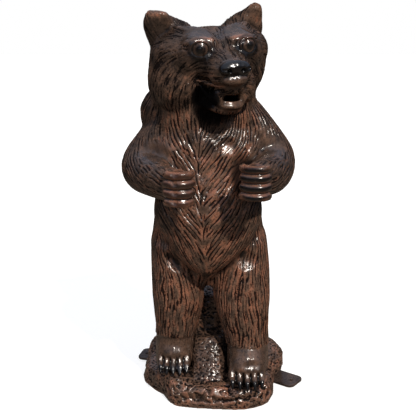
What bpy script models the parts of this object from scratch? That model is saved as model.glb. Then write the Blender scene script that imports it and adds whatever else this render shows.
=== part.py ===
"""A bear in cast aluminium, standing on its hind legs on a rock that bolts down by two lugs.

The figure is modelled as clay is: closed forms are pressed together, skinned over, and
pressed with the thumb. Metres, +Z up, the bear faces -Y, and the origin is on the ground
under the figure.
"""

import math

import bmesh
import bpy
import numpy as np
from mathutils import Euler, Matrix, Vector, noise

# The figure, and the grid that it is laid out on: one square is one row of its height.
FIGURE_HEIGHT = 1.42
FIGURE_ROWS = 142
SQUARE = FIGURE_HEIGHT / FIGURE_ROWS

# The rock that it stands on.
ROCK_WIDTH = 0.53
ROCK_DEPTH = 0.50
ROCK_SEAT_HEIGHT = 0.080
ROCK_CORNER_POWER = 3.2
RAMP_CORNER_POWER = 3.6
ROCK_SKEW = 0.10
ROCK_OUTLINE_SIDES = 48
STUMP_HEIGHT = 0.36
ROCK_CORNER_REACH = (0.16, 0.27, 0.30)
ROCK_CORNER_PRESS = (0.065, 0.040, 0.0)
ROCK_SWELLS = ((14.0, 0.008), (38.0, 0.003))

# The bolt-down lugs, flat bars let into the foot of the rock. Each starts at a share of the
# rock's half width and half depth, and is turned by so many degrees.
LUG_WIDTH = 0.100
LUG_THICKNESS = 0.010
LUG_LENGTH = 0.142
LUG_CORNER_RADIUS = 0.024
LUG_CORNER_STEPS = 5
LUG_HOLE_DIAMETER = 0.014
LUG_HOLE_EDGE_DISTANCE = 0.030
LUG_HOLE_SIDES = 20
LUG_START_SHARES = {
    "bolt_lug_right": ((0.940, 0.156), -36),
    "bolt_lug_left": ((-0.596, 0.772), 165),
}

# The joint left between pieces that touch.
CLEARANCE = 0.0004

# How finely the clay is skinned, and how many triangles each cast form is cut down to.
MASS_SKIN = 0.65 * SQUARE
DETAIL_SKIN = 0.42 * SQUARE
ROCK_SKIN = ROCK_WIDTH / 70
FIGURE_TRIANGLES = 7780
ROCK_TRIANGLES = 1120

# The broad locks of the fur: their spacing, their depth and where the breast parts, in squares.
LOCK_PITCH = 4.6
LOCK_DEPTH = 0.42
PARTING = -1.6

# How far the throat and the belly's point lie off the middle, in squares.
THROAT_PLACE = 3.0
BELLY_PLACE = -1.0

# The set of the head on the neck.
HEAD_PLACE = (1.0, -3.0, 122.0)
HEAD_YAW = 19.0
HEAD_NOD = 2.0
HEAD_ROLL = -3.5


class Clay:
    """Closed forms, placed in a frame of grid squares and gathered into one mesh."""

    def __init__(self, frame):
        self.mesh = bmesh.new()
        self.frame = frame

    def egg(self, centre, radii, lean=(0, 0, 0), finely=4):
        """A ball drawn out to three radii and leant by degrees about X, Y and Z."""
        turn = Euler([math.radians(a) for a in lean]).to_matrix().to_4x4()
        place = Matrix.Translation(centre) @ turn @ Matrix.Diagonal((*radii, 1))
        bmesh.ops.create_icosphere(
            self.mesh, subdivisions=finely, radius=1, matrix=self.frame @ place
        )

    def pair(self, centre, radii, lean=(0, 0, 0), finely=4):
        """The same egg on both sides of the frame's middle plane."""
        self.egg(centre, radii, lean, finely)
        x, y, z = centre
        a, b, c = lean
        self.egg((-x, y, z), radii, (a, -b, -c), finely)

    def loft(self, stations, across=(1, 0, 0), sides=24, steps=4):
        """A limb through stations of (centre, half width, half depth), width set across."""
        line = smooth_line(stations, steps)
        centres = [Vector(row[:3]) for row in line]
        rings = []
        for i, row in enumerate(line):
            ahead = centres[min(i + 1, len(line) - 1)] - centres[max(i - 1, 0)]
            along = ahead.normalized()
            side = Vector(across)
            side = (side - along * side.dot(along)).normalized()
            deep = along.cross(side)
            ring = []
            for k in range(sides):
                angle = math.tau * k / sides
                spot = centres[i] + side * row[3] * math.cos(angle)
                spot += deep * row[4] * math.sin(angle)
                ring.append(self.mesh.verts.new(self.frame @ spot))
            rings.append(ring)
        close_rings(self.mesh, rings)

    def limb(self, stations, across=(1, 0, 0), sides=20, steps=4):
        """A loft whose two ends are rounded by an egg of the end's own size."""
        self.loft(stations, across, sides, steps)
        for centre, wide, deep in (stations[0], stations[-1]):
            round_end = min(wide, deep)
            self.egg(centre, (round_end, round_end, round_end), finely=3)

    def cord(self, spots, thick, across=(0, 1, 0)):
        """A round cord through these spots, thinner at both ends."""
        last = len(spots) - 1
        stations = []
        for i, spot in enumerate(spots):
            share = 0.7 if i in (0, last) else 1.0
            stations.append((spot, thick * share, thick * share))
        self.limb(stations, across, sides=10, steps=3)

    def taken(self):
        """The gathered forms as a mesh, with every face pointing out."""
        bmesh.ops.recalc_face_normals(self.mesh, faces=self.mesh.faces)
        mesh = bpy.data.meshes.new("clay")
        self.mesh.to_mesh(mesh)
        self.mesh.free()
        return mesh


def close_rings(mesh, rings):
    """Faces between each ring of vertices and the next, and across both ends."""
    for low, high in zip(rings, rings[1:]):
        for k in range(len(low)):
            n = (k + 1) % len(low)
            mesh.faces.new((low[k], low[n], high[n], high[k]))
    mesh.faces.new(rings[0][::-1])
    mesh.faces.new(rings[-1])


def smooth_line(stations, steps):
    """Rows of (x, y, z, half width, half depth) on a smooth curve through the stations."""
    rows = [np.array([*centre, wide, deep], float) for centre, wide, deep in stations]
    rows = [2 * rows[0] - rows[1], *rows, 2 * rows[-1] - rows[-2]]
    line = []
    for a, b, c, d in zip(rows, rows[1:], rows[2:], rows[3:]):
        for step in range(steps):
            t = step / steps
            bend = (2 * a - 5 * b + 4 * c - d) * t**2 + (3 * b - a - 3 * c + d) * t**3
            line.append(0.5 * (2 * b + (c - a) * t + bend))
    line.append(rows[-2])
    return line


def add_object(name, mesh):
    """An object in the scene that holds this mesh."""
    obj = bpy.data.objects.new(name, mesh)
    bpy.context.scene.collection.objects.link(obj)
    return obj


def modified(mesh, *modifiers):
    """The mesh as these modifiers leave it, each given as (type, settings)."""
    obj = add_object("worked", mesh)
    for kind, settings in modifiers:
        modifier = obj.modifiers.new(kind.title(), kind)
        for key, value in settings.items():
            setattr(modifier, key, value)
    graph = bpy.context.evaluated_depsgraph_get()
    result = bpy.data.meshes.new_from_object(obj.evaluated_get(graph))
    bpy.data.objects.remove(obj)
    bpy.data.meshes.remove(mesh)
    return result


def skinned(mesh, size, smoothing, strength=0.5):
    """One skin over the forms in the mesh, its creases relaxed by so many passes."""
    return modified(
        mesh,
        ("REMESH", {"mode": "VOXEL", "voxel_size": size}),
        ("SMOOTH", {"factor": strength, "iterations": smoothing}),
    )


def reduced(mesh, triangles):
    """The mesh with its faces collapsed down to about that many triangles."""
    corners = sum(len(face.vertices) - 2 for face in mesh.polygons)
    return modified(
        mesh,
        ("TRIANGULATE", {}),
        ("DECIMATE", {"ratio": min(1.0, triangles / corners)}),
    )


def joined(*meshes):
    """These meshes in one."""
    together = bmesh.new()
    for mesh in meshes:
        together.from_mesh(mesh)
    result = bpy.data.meshes.new("joined")
    together.to_mesh(result)
    together.free()
    return result


def cut_flat(mesh, height):
    """The mesh cut off level at a height, with a flat face there that looks down."""
    work = bmesh.new()
    work.from_mesh(mesh)
    cut = bmesh.ops.bisect_plane(
        work,
        geom=[*work.verts, *work.edges, *work.faces],
        dist=1e-7,
        plane_co=(0, 0, height),
        plane_no=(0, 0, -1),
        clear_outer=True,
    )
    rim = [item for item in cut["geom_cut"] if isinstance(item, bmesh.types.BMEdge)]
    bmesh.ops.edgeloop_fill(work, edges=rim)
    bmesh.ops.triangulate(work, faces=work.faces)
    bmesh.ops.recalc_face_normals(work, faces=work.faces)
    work.to_mesh(mesh)
    work.free()
    return mesh


def points_of(mesh):
    """The mesh's points, one row each."""
    points = np.empty(len(mesh.vertices) * 3)
    mesh.vertices.foreach_get("co", points)
    return points.reshape(-1, 3)


def normals_of(mesh):
    """The direction out of the mesh at each of its points."""
    return np.array([vertex.normal[:] for vertex in mesh.vertices])


def set_points(mesh, points):
    """Moves the mesh's points to these."""
    mesh.vertices.foreach_set("co", points.ravel())
    mesh.update()


def in_frame(points, frame):
    """The points taken through a frame's matrix."""
    turn = np.array(frame)
    return points @ turn[:3, :3].T + turn[:3, 3]


def thumb(points, centre, reach, move):
    """Presses the points near centre by move, fading to nothing at reach."""
    near = np.linalg.norm((points - centre) / reach, axis=1)
    share = np.clip(1 - near**2, 0, None) ** 2
    points += share[:, None] * np.array(move)


def plane_off(points, centre, normal, reach):
    """Planes what stands over a flat face off, near its centre, fading at the reach."""
    normal = np.array(normal) / np.linalg.norm(normal)
    high = np.clip((points - centre) @ normal, 0, None)
    near = np.linalg.norm((points - centre) / reach, axis=1)
    points -= (np.clip(1 - near**4, 0, 1) * high)[:, None] * normal


def grid():
    """The frame of the figure's grid: squares from the soles, as metres."""
    seat = ROCK_SEAT_HEIGHT + CLEARANCE
    return Matrix.Translation((0, 0, seat)) @ Matrix.Scale(SQUARE, 4)


def head_grid():
    """The head's own frame: squares from the middle of the skull, the nose towards -Y."""
    turn = Euler([math.radians(a) for a in (HEAD_NOD, HEAD_ROLL, HEAD_YAW)])
    return grid() @ Matrix.Translation(HEAD_PLACE) @ turn.to_matrix().to_4x4()


def torso(clay):
    """Trunk, rump and breast."""
    clay.loft(
        [
            ((0, 4, 36), 13, 12),
            ((0, 3.5, 44), 22.0, 16.0),
            ((0, 2.5, 54), 22.0, 17.5),
            ((0, 0, 66), 20.5, 19.5),
            ((0, 0, 80), 21.0, 18.5),
            ((0, 1, 92), 21.5, 17.5),
            ((0, 2, 101), 17.0, 15.5),
            ((0, 2, 110), 14.5, 13.5),
        ],
        sides=32,
    )
    clay.pair((9, 9, 45), (12.5, 12, 14))
    clay.pair((8.0, -5.5, 87), (12.5, 10.5, 12))


def belly(clay):
    """The belly, which hangs to a point over the thighs."""
    clay.loft(
        [
            ((0, -7, 84), 17.0, 11.0),
            ((0, -7, 74), 19.5, 14.0),
            ((0, -8.5, 64), 20.4, 15.3),
            ((0, -10, 57), 17.4, 13.6),
            ((-0.4, -11, 50), 12.2, 11.0),
            ((-0.4, -11.5, 43.4), 5.4, 7.4),
        ],
        sides=32,
    )


def legs(clay):
    """Both hind legs, from the hip to the ankle."""
    clay.limb(
        [
            ((-12.0, 0, 52), 10.5, 13.5),
            ((-11.8, -1, 42), 10.6, 13.0),
            ((-11.6, -4, 31), 10.4, 11.5),
            ((-12.2, -4, 22), 9.2, 10.0),
            ((-13.0, -3, 14), 7.8, 9.0),
            ((-13.2, -4, 4), 8.0, 10.0),
        ]
    )
    clay.limb(
        [
            ((12.2, 0, 52), 11.0, 13.5),
            ((12.8, -2, 42), 11.4, 13.0),
            ((13.2, -6, 31), 11.2, 11.5),
            ((14.4, -8, 22), 9.8, 10.0),
            ((15.6, -8, 13), 8.3, 9.0),
            ((15.8, -9, 4), 8.4, 10.0),
        ]
    )


def arms(clay):
    """Both forelegs, bent at the elbow and held out before the breast."""
    clay.limb(
        [
            ((-13.0, 2, 99), 9.0, 10.0),
            ((-17.8, 1, 91), 9.0, 10.0),
            ((-23.6, -1, 84), 8.6, 9.0),
            ((-24.2, -6, 81), 8.0, 8.2),
            ((-19.5, -16, 80.5), 7.2, 7.2),
            ((-14, -26, 80.6), 6.2, 6.4),
            ((-11, -31, 80.8), 5.4, 6.2),
        ],
        across=(1, 0, 0.4),
    )
    clay.limb(
        [
            ((12.6, 2, 100), 9.0, 10.0),
            ((18.6, 1, 92.5), 9.0, 10.0),
            ((24.0, -1, 85.5), 8.6, 9.0),
            ((24.4, -6, 82.5), 8.2, 8.2),
            ((22.2, -16, 81.5), 7.4, 7.2),
            ((18.8, -26, 82.6), 6.4, 6.6),
            ((17, -30, 83.4), 5.4, 6.2),
        ],
        across=(1, 0, -0.4),
    )


def neck(clay):
    """The neck, and the mane that hangs from the cheeks on to the breast."""
    clay.loft(
        [
            ((0, 2, 92), 18, 15),
            ((-1, 1, 103), 19, 15),
            ((-1, 0, 113), 19, 15),
            ((0, -2, 122), 16, 14),
        ],
        sides=28,
    )
    clay.egg((-1, -4.5, 100), (17.5, 10.5, 13))
    clay.egg((-15.5, 4, 101.5), (10.5, 10, 11))


def skull(clay):
    """The heavy forms of the head, in its own frame."""
    clay.egg((0, 1, 1.5), (18.0, 16, 10.2))
    clay.pair((10.4, 1.0, 2.5), (11.8, 12.5, 9.5))
    clay.pair((8.0, -5.0, 2.0), (9.5, 11.0, 8.6))
    clay.loft(
        [
            ((-10.8, 1.0, 4.0), 10.4, 11.6),
            ((-12.0, 1.0, -3.0), 11.4, 12.4),
            ((-12.2, 0.5, -10.0), 11.4, 12.4),
            ((-11.0, -0.5, -16.5), 7.6, 8.4),
        ]
    )
    clay.egg((-11.0, -0.5, -16.0), (7.6, 8.0, 5.0))
    clay.loft(
        [
            ((10.8, 1.0, 4.0), 10.4, 11.6),
            ((10.4, 1.0, -2.5), 10.8, 12.4),
            ((9.4, 0.5, -8.5), 9.6, 12.0),
            ((8.4, -0.5, -13.5), 7.0, 8.4),
        ]
    )
    clay.egg((8.4, -0.5, -13.0), (7.0, 8.0, 5.0))
    clay.pair((11.8, 3.8, 10.0), (7.8, 5.5, 4.4), (0, -26, 0))
    clay.egg((0, 2, -9), (14, 13, 12))
    clay.pair((6.2, -8.4, 6.6), (7.0, 6.8, 4.6))
    clay.pair((7.0, -11.0, 7.4), (7.2, 4.2, 2.6))
    for side in (-1, 1):
        clay.limb(
            [
                ((side * 0.8, -6.2, 8.8), 2.4, 2.0),
                ((side * 6.6, -5.6, 10.6), 2.6, 1.9),
                ((side * 13.0, -2.4, 11.2), 2.6, 1.9),
            ],
            across=(0, 1, 0),
        )
    clay.loft(
        [
            ((0, -5, -0.6), 14.0, 9.2),
            ((0, -11, -0.4), 11.2, 6.8),
            ((0, -17, -1.2), 8.8, 5.6),
            ((0, -21.5, -1.8), 7.2, 4.8),
        ]
    )
    clay.egg((0, -21.5, -2.2), (7.2, 3.8, 4.8))
    clay.egg((0, -19.8, -4.4), (7.8, 5.4, 2.8))
    clay.egg((0.4, -20.4, -6.8), (4.8, 3.8, 4.0))
    clay.egg((7.4, -13.0, -8.6), (4.2, 6.2, 7.0))


def eye(clay, side):
    """One eye: the ball, and a lid over it and under it."""
    clay.egg((side * 9.0, -13.9, 5.4), (2.2, 2.2, 2.2), finely=3)
    for lift, thick in ((2.4, 0.65), (-2.1, 0.6)):
        clay.cord(
            [
                (side * 6.0, -16.0, 5.2),
                (side * 7.3, -16.8, 5.6 + lift * 0.8),
                (side * 9.0, -16.6, 5.6 + lift),
                (side * 10.7, -15.6, 5.6 + lift * 0.75),
                (side * 11.9, -13.8, 5.4),
            ],
            thick,
        )


def face(clay):
    """The finer forms of the head."""
    for side in (-1, 1):
        eye(clay, side)
    clay.egg((0, -24.4, -0.7), (5.6, 2.9, 2.7), (-12, 0, 0), finely=3)
    clay.egg((0, -23.8, -4.6), (4.8, 2.4, 2.2), finely=3)
    clay.loft(
        [
            ((0, -6, -13.0), 9.0, 4.4),
            ((0, -11, -14.5), 7.6, 3.4),
            ((0, -16, -15.6), 5.6, 2.3),
            ((0, -19.5, -15.9), 4.2, 1.7),
        ]
    )
    clay.cord(
        [
            (-9.2, -12.2, -6.6),
            (-7.0, -15.6, -10.6),
            (-4.2, -19.2, -13.6),
            (0, -20.9, -14.3),
            (4.0, -19.4, -14.0),
            (5.4, -17.0, -12.2),
        ],
        1.0,
        across=(0, 0, 1),
    )
    clay.egg((-4.4, -18.6, -10.4), (2.2, 2.8, 3.6), (0, 12, 0), finely=3)
    clay.egg((4.6, -17.6, -10.8), (2.0, 2.8, 3.4), (0, -12, 0), finely=3)


def ears(clay):
    """Both ears, thick slabs that fall to the skull: the left one flat on top, the right pointed."""
    clay.loft(
        [
            ((-15.0, 5.2, 4.5), 5.4, 4.6),
            ((-17.0, 3.8, 10.0), 5.7, 4.0),
            ((-18.4, 2.4, 13.6), 5.6, 3.4),
            ((-18.8, 1.4, 16.4), 4.6, 2.8),
            ((-18.7, 1.1, 18.1), 3.7, 2.0),
        ],
        across=(1, -0.45, 0),
    )
    clay.limb(
        [
            ((-15.6, 2.6, 15.4), 2.6, 1.6),
            ((-12.0, 3.2, 13.2), 3.2, 2.2),
            ((-8.2, 4.0, 10.8), 4.0, 2.8),
        ],
        across=(0, 1, 0),
    )
    clay.loft(
        [
            ((15.4, 5.0, 4.5), 5.6, 4.6),
            ((16.6, 3.8, 9.6), 5.6, 4.0),
            ((17.6, 3.0, 13.0), 4.6, 3.4),
            ((19.0, 2.4, 16.2), 3.1, 2.6),
            ((20.0, 2.0, 18.4), 1.5, 1.6),
        ],
        across=(1, -0.1, 0),
    )
    clay.limb(
        [
            ((18.4, 2.6, 16.8), 1.8, 1.2),
            ((14.5, 3.4, 14.4), 2.8, 1.9),
            ((10.0, 4.0, 11.4), 3.6, 2.6),
        ],
        across=(0, 1, 0),
    )


def fist(clay, palm, turn):
    """A closed paw: a palm, and four fingers laid one over another."""
    frame = clay.frame
    to_palm = Euler((0, 0, math.radians(turn))).to_matrix().to_4x4()
    clay.frame = frame @ Matrix.Translation(palm) @ to_palm
    clay.egg((0, 2.0, 0), (4.8, 4.6, 6.2))
    for row in range(4):
        height = 4.9 - 3.3 * row
        clay.limb(
            [
                ((-4.2, -0.4, height), 1.6, 1.7),
                ((-1.7, -3.0, height), 1.7, 1.8),
                ((2.0, -3.2, height), 1.7, 1.8),
                ((4.2, -0.8, height), 1.5, 1.6),
            ],
            across=(0, 0, 1),
            sides=12,
            steps=3,
        )
    clay.frame = frame


def hands(clay):
    """Both closed paws."""
    fist(clay, (-9.9, -33, 80.8), 8)
    fist(clay, (16.2, -33, 82.9), 0)


def paw(clay, ankle, toe, wide, lift):
    """A hind paw from the ankle to the toes, with five toes and their claws."""
    ax, ay = ankle
    tx, ty = toe
    clay.limb(
        [
            ((ax, ay, 8.0 + lift), wide * 1.08, 8.0),
            ((ax * 0.4 + tx * 0.6, ay * 0.4 + ty * 0.6, 5.4 + lift), wide * 1.02, 6.0),
            ((tx, ty + 3.4, 3.4 + lift), wide * 0.95, 3.8),
        ]
    )
    for k in range(5):
        side = (k - 2) / 2
        x = tx + side * (wide - 1.3)
        y = ty + 1.4 * side**2
        clay.egg((x, y + 0.8, 3.3 + lift), (1.8, 3.4, 3.1), (-14, 0, 0), finely=3)
        clay.limb(
            [
                ((x, y - 1.6, 3.4 + lift), 1.15, 1.2),
                ((x, y - 3.8, 2.4 + lift), 1.05, 1.1),
                ((x, y - 5.4, 0.4 + lift), 0.8, 0.85),
            ],
            sides=8,
            steps=3,
        )


def feet(clay):
    """Both hind paws, the left one set back and higher on the rock."""
    paw(clay, (-13.6, -3), (-13.4, -12.5), 6.4, 2.2)
    paw(clay, (15.6, -12), (14.9, -21.0), 6.9, 0.0)


def tail(clay):
    """The short tail."""
    clay.egg((0, 20.5, 43), (4.2, 4.5, 6.5), (-22, 0, 0), finely=3)


def bear_mesh():
    """The whole figure, skinned, pressed and cut down."""
    masses = Clay(grid())
    torso(masses)
    legs(masses)
    arms(masses)
    neck(masses)
    masses.frame = head_grid()
    skull(masses)
    body = skinned(masses.taken(), MASS_SKIN, 9)
    press(body)

    details = Clay(grid())
    belly(details)
    hands(details)
    feet(details)
    tail(details)
    details.frame = head_grid()
    face(details)
    ears(details)
    figure = skinned(joined(body, details.taken()), DETAIL_SKIN, 4)
    press_ears(figure)
    press_belly(figure)
    comb_locks(figure)
    figure = reduced(figure, FIGURE_TRIANGLES)
    return cut_flat(figure, ROCK_SEAT_HEIGHT + CLEARANCE)


def pressed(mesh, frame, presses):
    """Presses the mesh by (centre, reach, move) given in a frame, on both sides of its middle."""
    local = in_frame(points_of(mesh), frame.inverted())
    for centre, reach, move in presses:
        for side in (-1, 1) if centre[0] else (1,):
            mirror = np.array((side, 1, 1))
            thumb(local, mirror * centre, reach, mirror * move)
    set_points(mesh, in_frame(local, frame))


def press(mesh):
    """The furrow of the forehead, the eye sockets, the hollows under them, and the throat."""
    pressed(
        mesh,
        head_grid(),
        [
            ((0, -8.0, 11.5), (4.5, 13.0, 6.0), (0, 1.0, -1.8)),
            ((9.0, -16.0, 5.6), (4.5, 5.0, 4.0), (0, 1.6, 0)),
            ((9.5, -16.0, -1.5), (5.0, 6.0, 4.0), (0, 1.2, 0)),
        ],
    )
    local = in_frame(points_of(mesh), head_grid().inverted())
    for side in (-1, 1):
        plane_off(local, (side * 7.0, -10.2, 10.1), (side * -0.14, -0.38, 0.92), (7.6, 5.0, 4.0))
    set_points(mesh, in_frame(local, head_grid()))
    throat = grid() @ Matrix.Translation((THROAT_PLACE, 0, 0))
    pressed(mesh, throat, [((0, -15.0, 103.0), (9.0, 11.0, 11.0), (0, 5.0, 0))])


def press_ears(mesh):
    """The shallow hollow of each ear."""
    pressed(mesh, head_grid(), [((18.0, -2.0, 12.0), (5.4, 3.6, 6.0), (0, 1.3, 0))])


def press_belly(mesh):
    """The crease along the belly's edge, where it hangs over the thighs."""
    crease = smooth_line([((17, -13, 57), 0, 0), ((12, -15, 48), 0, 0), ((5, -16, 42), 0, 0)], 6)
    presses = [(row[:3], (2.8, 6.0, 2.8), (0, 0.7, 0)) for row in crease]
    pressed(mesh, grid() @ Matrix.Translation((BELLY_PLACE, 0, 0)), presses)


def step_up(values, low, high):
    """A smooth step from 0 at low to 1 at high."""
    share = np.clip((values - low) / (high - low), 0, 1)
    return share * share * (3 - 2 * share)


def comb_locks(mesh):
    """Broad locks: chevrons on breast and belly, and hanging locks on the mane and the legs."""
    points = points_of(mesh)
    x, y, z = in_frame(points, grid().inverted()).T
    front = step_up(-y, 6, 14) * (1 - step_up(-y, 24.5, 26.5)) * (1 - step_up(abs(x), 15, 19))
    edge = 42 + 0.73 * np.minimum(abs(x + 0.4), 11) + 1.9 * np.clip(abs(x + 0.4) - 11, 0, None)
    breast = front * step_up(z - edge, 1.5, 4.5) * (1 - step_up(z, 92, 98))
    across = (z - abs(x - PARTING)) * math.cos(math.radians(45))
    leg = np.where(x < 0, -12.5, 14.0)
    legs_only = step_up(z, 17, 21) * (1 - step_up(z + 0.9 * abs(x), 46, 52))
    round_leg = np.arctan2(x - leg, -y - 4) * 10
    mane = step_up(z, 104, 107) * (1 - step_up(z, 118, 124)) * step_up(y + 22, 6, 10)
    round_neck = np.arctan2(x, -y) * 20
    depth = np.zeros(len(points))
    for share, run in ((breast, across), (legs_only, round_leg), (mane, round_neck)):
        depth += share * (0.5 - 0.5 * np.cos(math.tau * run / LOCK_PITCH))
    set_points(mesh, points - normals_of(mesh) * (depth * LOCK_DEPTH * SQUARE)[:, None])


def block(clay, levels, power, skew=0.0):
    """A stack of rounded rectangles, each (centre, half width, half depth)."""
    rings = []
    for (x, y, z), wide, deep in levels:
        ring = []
        for k in range(ROCK_OUTLINE_SIDES):
            angle = math.tau * k / ROCK_OUTLINE_SIDES
            across = math.copysign(abs(math.cos(angle)) ** (2 / power), math.cos(angle))
            along = math.copysign(abs(math.sin(angle)) ** (2 / power), math.sin(angle))
            spot = (x + across * wide, y + (along - skew * across) * deep, z)
            ring.append(clay.mesh.verts.new(spot))
        rings.append(ring)
    close_rings(clay.mesh, rings)


def rock_mesh():
    """The rock: a low mound with a ramp between the feet and a stump behind, cut flat below."""
    clay = Clay(Matrix.Identity(4))
    wide = ROCK_WIDTH / 2
    deep = ROCK_DEPTH / 2
    seat = ROCK_SEAT_HEIGHT
    mound = ((-0.4, 0.97), (0.0, 0.99), (0.35, 1.0), (0.75, 0.975), (1.0, 0.90))
    levels = [((0, 0, high * seat), wide * share, deep * share) for high, share in mound]
    block(clay, levels, ROCK_CORNER_POWER, ROCK_SKEW)
    ramp = ((0.0, -0.30, 0.29, 0.46), (1.1, -0.30, 0.27, 0.40), (2.7, 0.10, 0.235, 0.36))
    levels = [
        ((0.01 * wide, y * deep, high * seat), w * wide, d * deep) for high, y, w, d in ramp
    ]
    block(clay, levels, RAMP_CORNER_POWER)
    clay.loft(
        [
            ((-0.04 * wide, 0.40 * deep, 0.0), 0.76 * wide, 0.60 * deep),
            ((-0.04 * wide, 0.36 * deep, 0.33 * STUMP_HEIGHT), 0.64 * wide, 0.48 * deep),
            ((0.0, 0.36 * deep, 0.61 * STUMP_HEIGHT), 0.49 * wide, 0.40 * deep),
            ((0.0, 0.36 * deep, STUMP_HEIGHT), 0.38 * wide, 0.34 * deep),
        ]
    )
    clay.egg((0.78 * wide, 0.30 * deep, 0.7 * seat), (0.42 * wide, 0.58 * deep, 1.1 * seat))
    clay.egg((-0.64 * wide, 0.62 * deep, 0.6 * seat), (0.34 * wide, 0.42 * deep, 1.0 * seat))
    clay.egg((-0.50 * wide, -0.50 * deep, 0.5 * seat), (0.38 * wide, 0.42 * deep, 0.92 * seat))
    rock = skinned(clay.taken(), ROCK_SKIN, 9)
    roughen(rock)
    rock = reduced(rock, ROCK_TRIANGLES)
    return cut_flat(rock, 0.0)


def roughen(mesh):
    """Wears the rock's left front corner away, and breaks its surface into hollows."""
    points = points_of(mesh)
    corner = np.array((-ROCK_WIDTH / 2, -ROCK_DEPTH / 2, 0))
    thumb(points, corner, ROCK_CORNER_REACH, ROCK_CORNER_PRESS)
    swell = np.zeros(len(points))
    for fine, height in ROCK_SWELLS:
        swell += [height * noise.noise(Vector(point) * fine) for point in points]
    set_points(mesh, points + normals_of(mesh) * swell[:, None])


def lug_mesh():
    """A flat bar with rounded outer corners and a bolt hole, lying along +X."""
    work = bmesh.new()
    corner = LUG_CORNER_RADIUS
    half = LUG_WIDTH / 2
    outline = [(0, half), (0, -half)]
    for start, y in ((-90, corner - half), (0, half - corner)):
        for step in range(LUG_CORNER_STEPS + 1):
            angle = math.radians(start + 90 * step / LUG_CORNER_STEPS)
            x = LUG_LENGTH - corner + corner * math.cos(angle)
            outline.append((x, y + corner * math.sin(angle)))
    hole = []
    for k in range(LUG_HOLE_SIDES):
        angle = math.tau * k / LUG_HOLE_SIDES
        x = LUG_LENGTH - LUG_HOLE_EDGE_DISTANCE + LUG_HOLE_DIAMETER / 2 * math.cos(angle)
        hole.append((x, LUG_HOLE_DIAMETER / 2 * math.sin(angle)))
    edges = []
    for loop in (outline, hole):
        verts = [work.verts.new((x, y, 0)) for x, y in loop]
        edges += [work.edges.new((a, b)) for a, b in zip(verts, verts[1:] + verts[:1])]
    bmesh.ops.triangle_fill(work, edges=edges, use_beauty=True)
    top = bmesh.ops.extrude_face_region(work, geom=work.faces[:])
    raised = [item for item in top["geom"] if isinstance(item, bmesh.types.BMVert)]
    bmesh.ops.translate(work, verts=raised, vec=(0, 0, LUG_THICKNESS))
    bmesh.ops.recalc_face_normals(work, faces=work.faces)
    mesh = bpy.data.meshes.new("lug")
    work.to_mesh(mesh)
    work.free()
    return mesh


def puffed(mesh):
    """A copy of the mesh with every face moved out by the clearance."""
    copy = mesh.copy()
    set_points(copy, points_of(mesh) + normals_of(mesh) * CLEARANCE)
    return copy


def cutter(name, mesh):
    """A hidden shape that cuts its room out of another."""
    obj = add_object(name, mesh)
    obj.hide_render = True
    obj.display_type = "WIRE"
    return obj


def material(name, colour, roughness, metallic):
    """A plain finish."""
    made = bpy.data.materials.new(name)
    made.use_nodes = True
    shader = made.node_tree.nodes["Principled BSDF"]
    shader.inputs["Base Color"].default_value = (*colour, 1)
    shader.inputs["Roughness"].default_value = roughness
    shader.inputs["Metallic"].default_value = metallic
    return made


def main():
    for obj in list(bpy.data.objects):
        bpy.data.objects.remove(obj)
    brown = material("brown_patina", (0.10, 0.045, 0.028), 0.35, 0.3)
    rusty = material("rock_patina", (0.12, 0.055, 0.035), 0.45, 0.3)
    black = material("lug_paint", (0.05, 0.035, 0.03), 0.5, 0.2)

    bear = add_object("bear_figure", bear_mesh())
    bear.data.materials.append(brown)
    rock = add_object("rock_base", rock_mesh())
    rock.data.materials.append(rusty)
    cutters = [cutter("bear_room", puffed(bear.data))]
    for name, ((across, along), turn) in LUG_START_SHARES.items():
        mesh = lug_mesh()
        spot = (across * ROCK_WIDTH / 2, along * ROCK_DEPTH / 2, 0)
        mesh.transform(Matrix.Translation(spot) @ Matrix.Rotation(math.radians(turn), 4, "Z"))
        lug = add_object(name, mesh)
        lug.data.materials.append(black)
        cutters.append(cutter(name + "_room", puffed(mesh)))
    for obj in cutters:
        cut = rock.modifiers.new(obj.name, "BOOLEAN")
        cut.operation = "DIFFERENCE"
        cut.object = obj
    for obj in (bear, rock):
        obj.data.shade_smooth()


main()
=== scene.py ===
"""The looks of a cast aluminium bear on its rock: carved fur, patina, claws and bolt lugs.

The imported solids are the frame. The bear and the rock are copied from their solids, skinned
finely, given their small forms, and carved; the lugs are modelled new around their solids.
"""

import logging
import math
from collections.abc import Iterable
from dataclasses import dataclass, field
from enum import Enum

import bmesh
import bpy
import numpy as np
from mathutils import Euler, Matrix, Vector
from mathutils.kdtree import KDTree


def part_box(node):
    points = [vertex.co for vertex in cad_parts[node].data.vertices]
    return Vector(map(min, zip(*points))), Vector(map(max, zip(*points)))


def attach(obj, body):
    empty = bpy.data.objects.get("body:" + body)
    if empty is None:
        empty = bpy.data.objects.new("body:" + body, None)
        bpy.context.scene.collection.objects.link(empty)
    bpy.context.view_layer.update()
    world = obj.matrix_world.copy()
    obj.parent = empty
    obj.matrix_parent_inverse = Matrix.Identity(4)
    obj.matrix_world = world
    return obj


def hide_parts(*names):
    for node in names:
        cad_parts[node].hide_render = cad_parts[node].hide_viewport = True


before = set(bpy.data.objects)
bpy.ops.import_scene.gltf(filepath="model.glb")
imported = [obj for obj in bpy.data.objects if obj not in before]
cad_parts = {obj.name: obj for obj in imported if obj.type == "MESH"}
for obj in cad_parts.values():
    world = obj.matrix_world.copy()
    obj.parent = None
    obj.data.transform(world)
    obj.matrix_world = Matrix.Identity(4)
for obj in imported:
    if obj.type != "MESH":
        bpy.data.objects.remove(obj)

LOG = logging.getLogger("bear")
Triple = tuple[float, float, float]
Station = tuple[Triple, float, float]
Egg = tuple[Triple, Triple]
Mark = tuple[Triple, Triple, float, float]

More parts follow.
